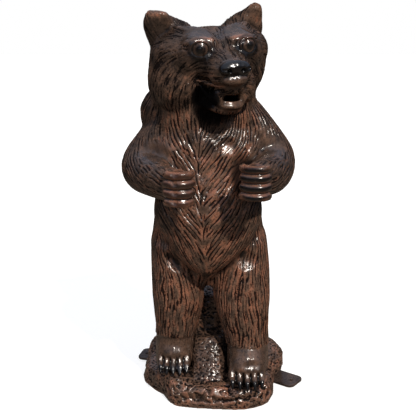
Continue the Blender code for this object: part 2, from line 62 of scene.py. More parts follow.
# The figure's height in grid squares, sole to ear tip, which gives the square its size.
FIGURE_SQUARES = 142.11
# How many triangles each carved piece is cut down to.
BEAR_TRIANGLES = 196000
ROCK_TRIANGLES = 110000
# Where the camera stands. The planed glints are turned to it too.
CAMERA_PLACE = (0.0, -2.9, 1.5)
# The figure's two sides, as the sign of X.
SIDES = (-1, 1)
# The height of a fist's top finger over its palm, and from each finger to the next.
FINGER_TOP, FINGER_STEP = 4.9, 3.3


def linear(code: str) -> tuple[float, float, float, float]:
    """Turns an sRGB hex colour to linear.

    Args:
        code: Six hex digits, such as "6b4030".

    Returns:
        The colour as linear red, green, blue and an alpha of one.
    """
    values = []
    for start in (0, 2, 4):
        share = int(code[start : start + 2], 16) / 255
        values.append(share / 12.92 if share <= 0.04045 else ((share + 0.055) / 1.055) ** 2.4)
    return (*values, 1.0)


def rows_of(items: bpy.types.bpy_prop_collection, key: str, wide: int, kind: type) -> np.ndarray:
    """Returns a property of each item as a row this wide."""
    rows = np.empty(len(items) * wide, kind)
    items.foreach_get(key, rows)
    return rows.reshape(-1, wide)


def points_of(mesh: bpy.types.Mesh) -> np.ndarray:
    """Returns the mesh's points, one row each."""
    return rows_of(mesh.vertices, "co", 3, float)


def normals_of(mesh: bpy.types.Mesh) -> np.ndarray:
    """Returns the direction out of the mesh at each point."""
    return rows_of(mesh.vertex_normals, "vector", 3, float)


def edges_of(mesh: bpy.types.Mesh) -> np.ndarray:
    """Returns the two point numbers of each edge."""
    return rows_of(mesh.edges, "vertices", 2, int)


def set_points(mesh: bpy.types.Mesh, points: np.ndarray) -> None:
    """Moves the mesh's points to these."""
    mesh.vertices.foreach_set("co", points.ravel())
    mesh.update()


def moved(points: np.ndarray, matrix: Matrix) -> np.ndarray:
    """Returns the points taken through a matrix."""
    turn = np.array(matrix)
    return points @ turn[:3, :3].T + turn[:3, 3]


def ramp(values: np.ndarray, low: float, high: float) -> np.ndarray:
    """Returns a smooth step from 0 at low to 1 at high."""
    share = np.clip((values - low) / (high - low), 0, 1)
    return share * share * (3 - 2 * share)


def blob(points: np.ndarray, place: Triple, radii: Triple, edge: float) -> np.ndarray:
    """Says how far inside an egg each point is.

    Args:
        points: The points, in the egg's own frame.
        place: The egg's middle.
        radii: Its three radii.
        edge: The share of the radii inside which all is 1.

    Returns:
        One inside, falling smoothly to nothing at the radii.
    """
    away = np.linalg.norm((points - place) / radii, axis=1)
    return 1 - ramp(away, edge, 1.0)


def lessen(share: np.ndarray, points: np.ndarray, marks: Iterable[Mark]) -> None:
    """Lowers a share in place, inside the egg of each mark, by the mark's part of it."""
    for place, radii, part, edge in marks:
        share *= 1 - part * blob(points, place, radii, edge)


def deepen(share: np.ndarray, points: np.ndarray, marks: Iterable[Mark]) -> None:
    """Raises a share in place, inside the egg of each mark, to the mark's level or more."""
    for place, radii, level, edge in marks:
        np.maximum(share, level * blob(points, place, radii, edge), out=share)


def thumb(points: np.ndarray, place: Triple, reach: Triple, move: Triple) -> None:
    """Presses the points near a place by a move that fades to nothing at the reach."""
    near = np.linalg.norm((points - place) / reach, axis=1)
    share = np.clip(1 - near**2, 0, None) ** 2
    points += share[:, None] * np.array(move)


def beside(ends: np.ndarray, values: np.ndarray) -> np.ndarray:
    """Returns the sum of the values at each point's neighbours along the edges."""
    total = np.bincount(ends[:, 0], values[ends[:, 1]], len(values))
    return total + np.bincount(ends[:, 1], values[ends[:, 0]], len(values))


def calmed(mesh: bpy.types.Mesh, share: np.ndarray, rounds: int) -> None:
    """Relaxes the mesh where share is above nothing, so that small lumps melt away."""
    points = points_of(mesh)
    ends = edges_of(mesh)
    met = np.bincount(ends.ravel(), minlength=len(points))[:, None] + 1e-9
    for _ in range(rounds):
        total = np.stack([beside(ends, column) for column in points.T], axis=1)
        points += (share * 0.9)[:, None] * (total / met - points)
    set_points(mesh, points)


def hollows(mesh: bpy.types.Mesh, rounds: int) -> np.ndarray:
    """Returns how far each point lies below the mesh as relaxed by rounds, in millimetres."""
    relaxed = mesh.copy()
    calmed(relaxed, np.ones(len(mesh.vertices)), rounds)
    sunk = points_of(relaxed) - points_of(mesh)
    bpy.data.meshes.remove(relaxed)
    return 1000 * np.einsum("ij,ij->i", sunk, normals_of(mesh))


def nearest_to(points: np.ndarray, spots: np.ndarray) -> np.ndarray:
    """Returns the number of the spot that lies nearest to each point."""
    tree = KDTree(len(spots))
    for i, spot in enumerate(spots):
        tree.insert(spot, i)
    tree.balance()
    return np.fromiter((tree.find(point)[1] for point in points), int, len(points))


@dataclass(frozen=True)
class Grain:
    """Smooth noise in space, the same in every run.

    Attributes:
        seed: Which noise it is.
        size: How many lattice points the noise repeats after.
    """

    seed: int
    size: int = 48

    def at(self, points: np.ndarray, wave: float) -> np.ndarray:
        """Reads the noise.

        Args:
            points: Where it is read, in metres.
            wave: The size of its bumps, in metres.

        Returns:
            A value from about -1 to 1 for each point.
        """
        table = np.random.default_rng(self.seed).uniform(-1, 1, (self.size,) * 3)
        spots = points / wave + 1000
        cells = np.floor(spots).astype(int)
        share = spots - cells
        share = share * share * (3 - 2 * share)
        total = np.zeros(len(points))
        for corner in np.ndindex(2, 2, 2):
            at = (cells + corner) % self.size
            weight = np.prod(np.where(corner, share, 1 - share), axis=1)
            total += weight * table[at[:, 0], at[:, 1], at[:, 2]]
        return total


@dataclass(frozen=True)
class Grid:
    """The square grid that the figure is laid out on, and the head's own frame in it.

    Attributes:
        soles: The height of the soles.
        square: The side of one square.
        head_place: The middle of the skull, in squares.
        head_turn: The head's nod, roll and yaw, in degrees.
    """

    soles: float
    square: float
    head_place: Triple = (1.0, -3.0, 122.0)
    head_turn: Triple = (2.0, -3.5, 19.0)

    def body(self) -> Matrix:
        """Returns the matrix from squares over the soles to metres."""
        return Matrix.Translation((0, 0, self.soles)) @ Matrix.Scale(self.square, 4)

    def head(self) -> Matrix:
        """Returns the matrix from the head's own squares to metres."""
        turn = Euler([math.radians(angle) for angle in self.head_turn]).to_matrix()
        return self.body() @ Matrix.Translation(self.head_place) @ turn.to_4x4()


def meshed(work: bmesh.types.BMesh, name: str) -> bpy.types.Mesh:
    """Returns the work as a mesh, and frees it."""
    mesh = bpy.data.meshes.new(name)
    work.to_mesh(mesh)
    work.free()
    return mesh


class Clay:
    """Closed forms, placed in a frame and gathered into one mesh, to be skinned over."""

    def __init__(self, place: Matrix) -> None:
        """Starts with nothing, in a frame."""
        self.mesh = bmesh.new()
        self.frame = place

    def egg(self, centre: Triple, radii: Triple, lean: Triple = (0, 0, 0)) -> None:
        """Adds a ball drawn out to three radii and leant by degrees about X, Y and Z."""
        turn = Euler([math.radians(angle) for angle in lean]).to_matrix().to_4x4()
        place = Matrix.Translation(centre) @ turn @ Matrix.Diagonal((*radii, 1))
        bmesh.ops.create_icosphere(
            self.mesh, subdivisions=4, radius=1, matrix=self.frame @ place
        )

    def loft(self, stations: list[Station], across: Triple = (1, 0, 0), sides: int = 24) -> None:
        """Adds a limb.

        Args:
            stations: Its middles, each with a half width and a half depth.
            across: The direction of its width.
            sides: How many sides it has.
        """
        line = smooth_line(stations)
        centres = [Vector(row[:3]) for row in line]
        rings = []
        for i, row in enumerate(line):
            ahead = centres[min(i + 1, len(line) - 1)] - centres[max(i - 1, 0)]
            along = ahead.normalized()
            side = Vector(across)
            side = (side - along * side.dot(along)).normalized()
            deep = along.cross(side)
            ring = []
            for k in range(sides):
                angle = math.tau * k / sides
                spot = centres[i] + side * row[3] * math.cos(angle)
                spot += deep * row[4] * math.sin(angle)
                ring.append(self.mesh.verts.new(self.frame @ spot))
            rings.append(ring)
        self.join(rings)
        self.mesh.faces.new(rings[0][::-1])
        self.mesh.faces.new(rings[-1])

    def join(self, rings: list[list[bmesh.types.BMVert]]) -> None:
        """Joins each ring of points to the next one by faces."""
        for low, high in zip(rings, rings[1:]):
            for k in range(len(low)):
                n = (k + 1) % len(low)
                self.mesh.faces.new((low[k], low[n], high[n], high[k]))

    def limb(self, stations: list[Station], across: Triple = (1, 0, 0), sides: int = 20) -> None:
        """Adds a loft whose two ends are rounded by a ball."""
        self.loft(stations, across, sides)
        for centre, wide, deep in (stations[0], stations[-1]):
            self.egg(centre, (min(wide, deep),) * 3)

    def cord(self, spots: list[Triple], thick: float, across: Triple = (0, 1, 0)) -> None:
        """Adds a round cord through these spots, thinner at both ends."""
        inner = [(spot, thick, thick) for spot in spots[1:-1]]
        first, last = ((spot, thick * 0.7, thick * 0.7) for spot in (spots[0], spots[-1]))
        self.limb([first, *inner, last], across, sides=12)

    def ring(self, half_wide: float, half_high: float, thick: float, sag: float) -> None:
        """Adds a cord that closes on itself.

        Args:
            half_wide: Half its width, along X.
            half_high: Half its height, along Z.
            thick: The cord's own radius.
            sag: How far its two sides lie back, for each unit out squared.
        """
        rings = []
        for k in range(40):
            turn = math.tau * k / 40
            x, z = half_wide * math.cos(turn), half_high * math.sin(turn)
            out = Vector((math.cos(turn), 0, math.sin(turn)))
            loop = []
            for n in range(12):
                lean = math.tau * n / 12
                spot = Vector((x, sag * x * x, z)) + out * (thick * math.cos(lean))
                spot.y += thick * math.sin(lean)
                loop.append(self.mesh.verts.new(self.frame @ spot))
            rings.append(loop)
        self.join([*rings, rings[0]])

    def taken(self) -> bpy.types.Mesh:
        """Returns the gathered forms as a mesh with every face pointing out."""
        bmesh.ops.recalc_face_normals(self.mesh, faces=self.mesh.faces)
        return meshed(self.mesh, "clay")


def smooth_line(stations: list[Station], steps: int = 5) -> list[np.ndarray]:
    """Rounds a line of stations.

    Args:
        stations: Middles, each with a half width and a half depth.
        steps: How many rows there are from one station to the next.

    Returns:
        Rows of x, y, z, half width and half depth on a smooth curve through the stations.
    """
    rows = [np.array([*centre, wide, deep], float) for centre, wide, deep in stations]
    rows = [2 * rows[0] - rows[1], *rows, 2 * rows[-1] - rows[-2]]
    line = []
    for a, b, c, d in zip(rows, rows[1:], rows[2:], rows[3:]):
        for step in range(steps):
            t = step / steps
            bend = (2 * a - 5 * b + 4 * c - d) * t**2 + (3 * b - a - 3 * c + d) * t**3
            line.append(0.5 * (2 * b + (c - a) * t + bend))
    line.append(rows[-2])
    return line


def modified(mesh: bpy.types.Mesh, *modifiers: tuple[str, dict]) -> bpy.types.Mesh:
    """Runs a mesh through modifiers.

    Args:
        mesh: The mesh, which is used up.
        modifiers: The type and the settings of each modifier.

    Returns:
        The mesh as they leave it.
    """
    obj = bpy.data.objects.new("worked", mesh)
    bpy.context.scene.collection.objects.link(obj)
    for kind, settings in modifiers:
        modifier = obj.modifiers.new(kind.title(), kind)
        for key, value in settings.items():
            setattr(modifier, key, value)
    graph = bpy.context.evaluated_depsgraph_get()
    result = bpy.data.meshes.new_from_object(obj.evaluated_get(graph))
    bpy.data.objects.remove(obj)
    bpy.data.meshes.remove(mesh)
    return result


def skinned(mesh: bpy.types.Mesh, size: float, passes: int) -> bpy.types.Mesh:
    """Returns one skin of squares of this size over the mesh's forms, relaxed by passes."""
    return modified(
        mesh,
        ("REMESH", {"mode": "VOXEL", "voxel_size": size}),
        ("SMOOTH", {"factor": 0.5, "iterations": passes}),
    )


def reduced(mesh: bpy.types.Mesh, triangles: int) -> bpy.types.Mesh:
    """Returns the mesh collapsed to about so many triangles, fine where it is carved."""
    corners = sum(len(face.vertices) - 2 for face in mesh.polygons)
    share = min(1.0, triangles / corners)
    return modified(mesh, ("TRIANGULATE", {}), ("DECIMATE", {"ratio": share}))


def node_copy(node: str, name: str) -> bpy.types.Mesh:
    """Returns a copy of a CAD node's mesh, in place, with its loose triangles merged."""
    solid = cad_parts[node]
    work = bmesh.new()
    work.from_mesh(solid.data)
    bmesh.ops.transform(work, matrix=solid.matrix_world, verts=work.verts)
    bmesh.ops.remove_doubles(work, verts=work.verts, dist=1e-6)
    return meshed(work, name)


def joined(*meshes: bpy.types.Mesh) -> bpy.types.Mesh:
    """Returns these meshes in one."""
    together = bmesh.new()
    for mesh in meshes:
        together.from_mesh(mesh)
    return meshed(together, "joined")


def paint(
    mesh: bpy.types.Mesh, groove: np.ndarray, black: np.ndarray | float, tone: np.ndarray,
    grain: np.ndarray | float, matt: np.ndarray | float,
) -> None:
    """Writes the two maps that the patina reads.

    Args:
        mesh: The mesh.
        groove: How deeply each point is cut, from 0 to 1, kept as red.
        black: How black each point is left, or painted as shade on the bear, kept as green.
        tone: The patina's tone, from olive brown at 0 to rust at 1, kept as blue.
        grain: How rough the casting is left, from 0 to 1, kept as alpha.
        matt: How little lacquer there is, from 0 to 1, kept as the matt map.
    """
    colours = np.ones((len(mesh.vertices), 4), np.float32)
    for k, share in enumerate((groove, black, tone, grain)):
        colours[:, k] = np.clip(share, 0, 1)
    layer = mesh.color_attributes.new("finish_map", "FLOAT_COLOR", "POINT")
    layer.data.foreach_set("color", colours.ravel())
    colours[:, :3] = np.clip(matt, 0, 1)[..., None]
    layer = mesh.color_attributes.new("matt_map", "FLOAT_COLOR", "POINT")
    layer.data.foreach_set("color", colours.ravel())


def stand(name: str, mesh: bpy.types.Mesh, slot: str, *nodes: str) -> bpy.types.Object:
    """Puts a finished piece in the scene.

    Args:
        name: The piece's name.
        mesh: Its mesh, in place.
        slot: The name of a material slot; it is not used.
        nodes: The CAD nodes that it stands for.

    Returns:
        The piece, riding on the root body.
    """
    piece = bpy.data.objects.new(name, mesh)
    bpy.context.scene.collection.objects.link(piece)
    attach(piece, "root")
    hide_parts(*nodes)
    LOG.info("%s: %d triangles", name, len(mesh.polygons))
    return piece


@dataclass(frozen=True)
class Comb:
    """How the fur lies near one place.

    Attributes:
        place: The place, in squares.
        way: The direction from root to tip. Where it is parted, x is away from the parting.
        reach: How far it is felt, in squares.
        parted: Whether the fur lies the same way on both sides of the parting.
    """

    place: Triple
    way: Triple
    reach: float = 8.0
    parted: bool = False


@dataclass
class Strokes:
    """Carved strokes that follow the lie of the fur at an even spacing.

    A wave is set running across the fur at every point, and each point's wave is then pulled
    into step with its neighbours', so the crests join up into long strokes that end or fork
    where the wave can't keep step.

    Attributes:
        coarse: The size of the squares on which the wave is first settled, in metres.
        settle: How many rounds of pulling the coarse skin gets.
        polish: How many rounds the fine skin gets.
        seed: The seed of the first, random wave.
        strides: How far a streak leaps along the fur, coarsely and finely, in metres.
        widenings: How many rounds widen a speck before it is drawn out.
    """

    coarse: float = 0.006
    settle: int = 170
    polish: int = 14
    seed: int = 5
    strides: tuple[float, float] = (0.010, 0.0032)
    widenings: tuple[int, int] = (1, 7)

    def pulled(
        self, mesh: bpy.types.Mesh, ways: np.ndarray, pitch: np.ndarray, wave: np.ndarray,
        rounds: int,
    ) -> tuple[np.ndarray, np.ndarray]:
        """Pulls the wave of each point into step with its neighbours'.

        Args:
            mesh: The skin.
            ways: The lie of the fur at each point.
            pitch: The spacing of the strokes at each point.
            wave: The wave at each point, as a complex number of length one.
            rounds: How many times it is done.

        Returns:
            The wave, and how well it keeps step with its neighbours, from 0 to 1.
        """
        points = points_of(mesh)
        ends = edges_of(mesh)
        a, b = ends[:, 0], ends[:, 1]
        across = np.cross(normals_of(mesh), ways)
        step = points[b] - points[a]
        turns = np.einsum("ij,ij->i", step, across[a] / pitch[a, None] + across[b] / pitch[b, None])
        carry = np.exp(1j * math.pi * turns)
        length = np.linalg.norm(step, axis=1) + 1e-9
        along = np.abs(np.einsum("ij,ij->i", step, ways[a])) / length
        pull = 0.3 + along**2
        count = len(points)
        total = np.bincount(a, pull, count) + np.bincount(b, pull, count) + 1e-9
        kept = wave
        for _ in range(rounds):
            to_b = kept[a] * carry * pull
            to_a = kept[b] * carry.conj() * pull
            real = np.bincount(b, to_b.real, count) + np.bincount(a, to_a.real, count)
            imag = np.bincount(b, to_b.imag, count) + np.bincount(a, to_a.imag, count)
            both = real + 1j * imag
            size = np.abs(both) + 1e-9
            kept = both / size
        return kept, size / total

    def wave(
        self, mesh: bpy.types.Mesh, lie: "Fur", ways: np.ndarray
    ) -> tuple[np.ndarray, np.ndarray]:
        """Settles the wave on a skin.

        Args:
            mesh: The fine skin.
            lie: The fur, which says how it lies and how closely it is carved.
            ways: The lie of the fur at each point of the fine skin.

        Returns:
            The wave's turn at each point, in radians, and how well it keeps step.
        """
        rough = skinned(mesh.copy(), self.coarse, 3)
        spots = points_of(rough)
        rough_ways = lie.ways(spots, normals_of(rough))
        pitch = lie.pitch(spots)
        first = np.random.default_rng(self.seed).uniform(0, math.tau, len(spots))
        settled, _ = self.pulled(rough, rough_ways, pitch, np.exp(1j * first), self.settle)
        across = np.cross(normals_of(rough), rough_ways)
        points = points_of(mesh)
        nearest = nearest_to(points, spots)
        off = np.einsum("ij,ij->i", points - spots[nearest], across[nearest])
        start = settled[nearest] * np.exp(1j * math.tau * off / pitch[nearest])
        wave, step = self.pulled(mesh, ways, lie.pitch(points), start, self.polish)
        bpy.data.meshes.remove(rough)
        return np.angle(wave), step

    def streaks(self, mesh: bpy.types.Mesh, ways: np.ndarray) -> list[np.ndarray]:
        """Draws random specks out along the fur.

        Args:
            mesh: The skin.
            ways: The lie of the fur at each point.

        Returns:
            Streaks as wide as a hair and as a stroke, each about 0 with a spread of 1.
        """
        points = points_of(mesh)
        leaps = [nearest_to(points + stride * ways, points) for stride in self.strides]
        ends = edges_of(mesh)
        count = len(points)
        met = np.bincount(ends.ravel(), minlength=count) + 1.0
        drawn = []
        for seed, widen in enumerate(self.widenings):
            speck = np.random.default_rng(40 + seed).normal(size=count)
            for _ in range(widen):
                speck = (speck + beside(ends, speck)) / met
            for leap in leaps:
                jump = leap
                for _ in range(2):
                    speck = (speck + speck[jump]) / 2
                    jump = jump[jump]
            drawn.append((speck - speck.mean()) / speck.std())
        return drawn


@dataclass
class Fur:
    """The lie, the spacing and the depth of the carved fur."""

    grid: Grid
    combs: list[Comb] = field(default_factory=list)
    head_combs: list[Comb] = field(default_factory=list)

    def __post_init__(self) -> None:
        """Combs the figure."""
        self.comb_trunk()
        self.comb_limbs()
        self.comb_head()

    def both(self, into: list[Comb], rows: Iterable[tuple[Triple, Triple, float]]) -> None:
        """Combs the place of each row, and its mirror image, its way and as far as it reaches."""
        for (x, y, z), (across, back, up), reach in rows:
            for side in SIDES:
                into.append(Comb((side * x, y, z), (side * across, back, up), reach))

    def comb_trunk(self) -> None:
        """Combs the breast and the belly to their parting, and the back and the tail down."""
        for height, depth in ((92, -16), (84, -20), (74, -21), (64, -23), (54, -22), (46, -20)):
            for x in (-14, 0, 14):
                place = (x, depth + abs(x) * 0.3, height)
                self.combs.append(Comb(place, (-0.66, 0, -0.8), 7.0, parted=True))
        self.both(self.combs, (
            ((20, 2, 70), (-0.25, -0.3, -1), 9),
            ((20, 4, 52), (-0.1, -0.1, -1), 9),
            *(((8, 18, height), (0.25, 0, -1), 9) for height in (108, 92, 76, 60, 46)),
            ((6, -13, 104), (0.1, -0.3, -1), 6),
            ((14, -8, 102), (0.35, -0.2, -0.9), 6),
            ((18, 6, 104), (0.5, 0.2, -0.8), 8),
        ))
        self.combs.append(Comb((0, 24, 43), (0, 0.2, -1), 6))

    def comb_limbs(self) -> None:
        """Combs the arms round to the paws, and the legs down."""
        heights = (50, 40, 30, 20, 12)
        self.both(self.combs, (
            ((19, 3, 96), (0.65, -0.1, -0.75), 7),
            ((28, 0, 90), (0.45, -0.2, -0.9), 6),
            ((32, -4, 83), (0.1, -0.6, -0.8), 6),
            ((30, -10, 76), (-0.35, -0.8, -0.5), 6),
            ((24, -18, 75), (-0.45, -0.85, -0.25), 6),
            ((26, -14, 88), (-0.3, -0.9, -0.1), 6),
            ((20, -24, 88), (-0.35, -0.9, 0), 6),
            ((18, -27, 76), (-0.4, -0.9, 0.1), 6),
            ((26, 6, 84), (0.1, -0.2, -1), 7),
            ((12, -10, 84), (0.3, -0.9, -0.3), 5),
            *(((14, y, z), (0.06, -0.05, -1), 8) for z in heights for y in (-14, 0, 12)),
        ))

    def comb_head(self) -> None:
        """Combs the head back from the nose, and the cheeks down."""
        self.both(self.head_combs, (
            ((3, -20, 4), (0.15, 1, 0.15), 4.5),
            ((8, -17, -1), (0.5, 0.9, -0.05), 4.5),
            ((7, -19, -6), (0.7, 0.7, 0.1), 4.0),
            ((2, -13, 7), (0.15, 0.6, 0.8), 4.0),
            ((9, -14, 1), (0.6, 0.6, -0.5), 4.0),
            ((4, -9, 11), (0.3, 0.8, 0.5), 4.5),
            ((10, -10, 10), (0.6, 0.7, 0.5), 4.5),
            ((4, 2, 13), (0.15, 1, 0), 6.0),
            ((14, -9, 6), (0.8, 0.6, 0.05), 4.5),
            ((13, -10, -1), (0.6, 0.45, -0.65), 4.5),
            ((18, -5, 3), (0.5, 0.6, -0.6), 5.0),
            ((14, -9, -8), (0.25, 0.15, -1), 5.5),
            ((20, 0, -5), (0.1, 0.3, -1), 6.0),
            ((12, -6, -15), (0.0, 0.1, -1), 6.0),
            ((8, -8, -12), (-0.2, 0.1, -1), 4.0),
            ((5, -15, -17), (0.3, 0.6, -0.7), 4.0),
            ((8, 15, 2), (0.2, 0.1, -1), 8.0),
            ((17, 5, 14), (0.4, 0.1, 1), 4.0),
            ((17, 0, 9), (0.3, 0, 1), 4.0),
        ))

    def ways(self, points: np.ndarray, normals: np.ndarray) -> np.ndarray:
        """Says how the fur lies.

        Args:
            points: Where, in metres.
            normals: The direction out of the skin there.

        Returns:
            The direction from root to tip, along the skin.
        """
        total = np.zeros_like(points)
        total[:, 2] = -1e-4
        parting = np.tanh((points[:, 0] - self.parting(points)) / 0.022)
        for combs, matrix in ((self.combs, self.grid.body()), (self.head_combs, self.grid.head())):
            for comb in combs:
                place = np.array(matrix @ Vector(comb.place))
                way = np.array(matrix.to_3x3().normalized() @ Vector(comb.way))
                reach = comb.reach * self.grid.square
                near = np.exp(-0.5 * (np.linalg.norm(points - place, axis=1) / reach) ** 2)
                felt = near[:, None] * way
                if comb.parted:
                    felt[:, 0] *= parting
                total += felt
        total /= np.linalg.norm(total, axis=1)[:, None]
        calm = 1 - 0.5 * ramp(points[:, 2], 0.50, 0.58)
        for k, seed in enumerate((11, 12, 13)):
            stray = 0.26 * Grain(seed).at(points, 0.06) + 0.16 * Grain(seed).at(points, 0.025)
            total[:, k] += calm * stray
        total -= normals * np.einsum("ij,ij->i", total, normals)[:, None]
        return total / (np.linalg.norm(total, axis=1)[:, None] + 1e-9)

    def parting(self, points: np.ndarray) -> np.ndarray:
        """Returns the x of the parting down the breast at each point's height."""
        belly, breast = 0.54, 0.92
        share = np.clip((points[:, 2] - belly) / (breast - belly), 0, 1)
        return -0.004 - 0.030 * share

    def pitch(self, points: np.ndarray) -> np.ndarray:
        """Returns the spacing of the strokes at each point, closer on the head."""
        head = moved(points, self.grid.head().inverted())
        on_head = blob(head, (0, -2, -2), (26, 28, 24), 0.85)
        on_face = blob(head, (0, -16, 0), (14, 12, 14), 0.5)
        uneven = 1 + 0.22 * Grain(14).at(points, 0.07)
        return (0.0135 - 0.0030 * on_head - 0.0020 * on_face) * uneven


# The bear's marks. Each is a place, its radii, how strongly it is felt, and the share of the
# radii inside which it is felt in full, in squares. Left and right are the viewer's.
# Where the fur is carved less, on each side of the head: the eye, brow, ear and forehead.
BARE_SIDES: tuple[Mark, ...] = (
    ((9.0, -15.5, 5.6), (4.6, 5.0, 3.9), 1.0, 0.8),
    ((7.6, -14.6, 9.0), (6.0, 4.0, 2.2), 0.85, 0.6),
    ((18.4, -1.0, 14.5), (6.6, 5.5, 6.5), 0.6, 0.6),
    ((7.4, -9.5, 11.0), (8.0, 5.4, 3.4), 0.9, 0.6),
)
# The same in its middle: the nose, the upper lip, the muzzle and the lower lip.
BARE_MUZZLE: tuple[Mark, ...] = (
    ((0, -24.5, -0.8), (6.2, 4.8, 3.9), 1.0, 0.85),
    ((0, -24.0, -5.0), (5.6, 4.0, 3.6), 0.95, 0.7),
    ((0, -20.0, -3.0), (9.0, 8.0, 6.0), 0.5, 0.5),
    ((0, -19.0, -13.6), (6.5, 5.5, 3.4), 1.0, 0.8),
)
# The same on the arms and the left shoulder.
BARE_ARMS: tuple[Mark, ...] = (
    ((-20.0, -14.0, 89.5), (9.0, 14.0, 5.0), 0.75, 0.5),
    ((24.0, -12.0, 91.5), (8.0, 14.0, 5.0), 0.75, 0.5),
    ((-22.0, 0.0, 96.0), (8.0, 9.0, 7.0), 0.75, 0.5),
)
# Painted shade, as black: in the mouth, on the jaw's left side, in the throat, beside the right fist.
PAINTED_SHADE_MOUTH: tuple[Mark, ...] = (
    ((-0.5, -14.0, -10.2), (8.0, 6.4, 3.6), 1.0, 0.8),
    ((-7.8, -14.5, -11.6), (4.7, 12.0, 5.2), 1.1, 0.8),
    ((0.0, -16.5, -11.4), (3.6, 6.0, 1.9), 1.1, 0.8),
)
# Painted shadow on the body: the throat under the chin, and the right fist's shadow on the breast.
PAINTED_SHADE_BODY: tuple[Mark, ...] = (
    ((2.0, -12.0, 104.0), (9.0, 8.0, 8.0), 0.95, 0.5),
    ((12.8, -16.0, 81.0), (7.4, 9.0, 12.5), 0.95, 0.35),
)
# Where there is no lacquer: the mouth and the jaw, then the throat and a hollow by each arm.
SOOT_HEAD: tuple[Mark, ...] = (
    ((-7.8, -14.5, -11.6), (5.0, 12.0, 5.6), 1.0, 0.6),
    ((0.0, -15.0, -11.0), (4.4, 6.0, 2.4), 1.0, 0.6),
    ((-3.0, -9.0, -17.0), (9.0, 9.0, 6.0), 1.0, 0.6),
)
SOOT_BODY: tuple[Mark, ...] = (
    ((1.0, -12.0, 103.0), (9.0, 8.0, 9.0), 1.0, 0.6),
    ((12.8, -16.0, 81.0), (7.0, 9.4, 12.5), 1.0, 0.6),
    ((-20.0, -12.0, 74.0), (6.0, 8.0, 6.0), 1.0, 0.6),
)
# The patina's tone at places on the head: the ears, the eyes, the forehead, the brows, the lips.
HEAD_TONES: tuple[tuple[Triple, Triple, float], ...] = (
    ((-18.0, -1.0, 12.5), (8.0, 7.0, 7.5), -0.05),
    ((-19.0, -1.0, 18.0), (6.5, 6.0, 3.0), 0.60),
    ((20.0, -1.0, 15.0), (6.0, 6.0, 7.0), 0.45),
    ((-9.0, -16.0, 5.4), (5.0, 5.0, 4.2), 0.45),
    ((9.0, -16.0, 5.4), (5.0, 5.0, 4.2), 0.45),
    ((7.4, -9.5, 11.4), (9.0, 6.0, 3.6), -0.10),
    ((-7.4, -9.5, 11.4), (9.0, 6.0, 3.6), -0.10),
    ((7.0, -15.0, 8.8), (7.0, 4.0, 2.0), 0.75),
    ((-7.0, -15.0, 8.8), (7.0, 4.0, 2.0), 0.75),
    ((0.0, -24.6, -4.7), (5.4, 4.0, 2.6), 0.30),
    ((-5.5, -19.0, -6.6), (5.0, 5.0, 1.6), 0.62),
    ((0, -21.0, -13.8), (6.0, 3.0, 2.4), 0.30),
)


def in_head(head: np.ndarray) -> np.ndarray:
    """Says how far inside the head each point is, given in the head's own squares."""
    return blob(head, (0, -2, -1), (27, 27, 21), 0.85)


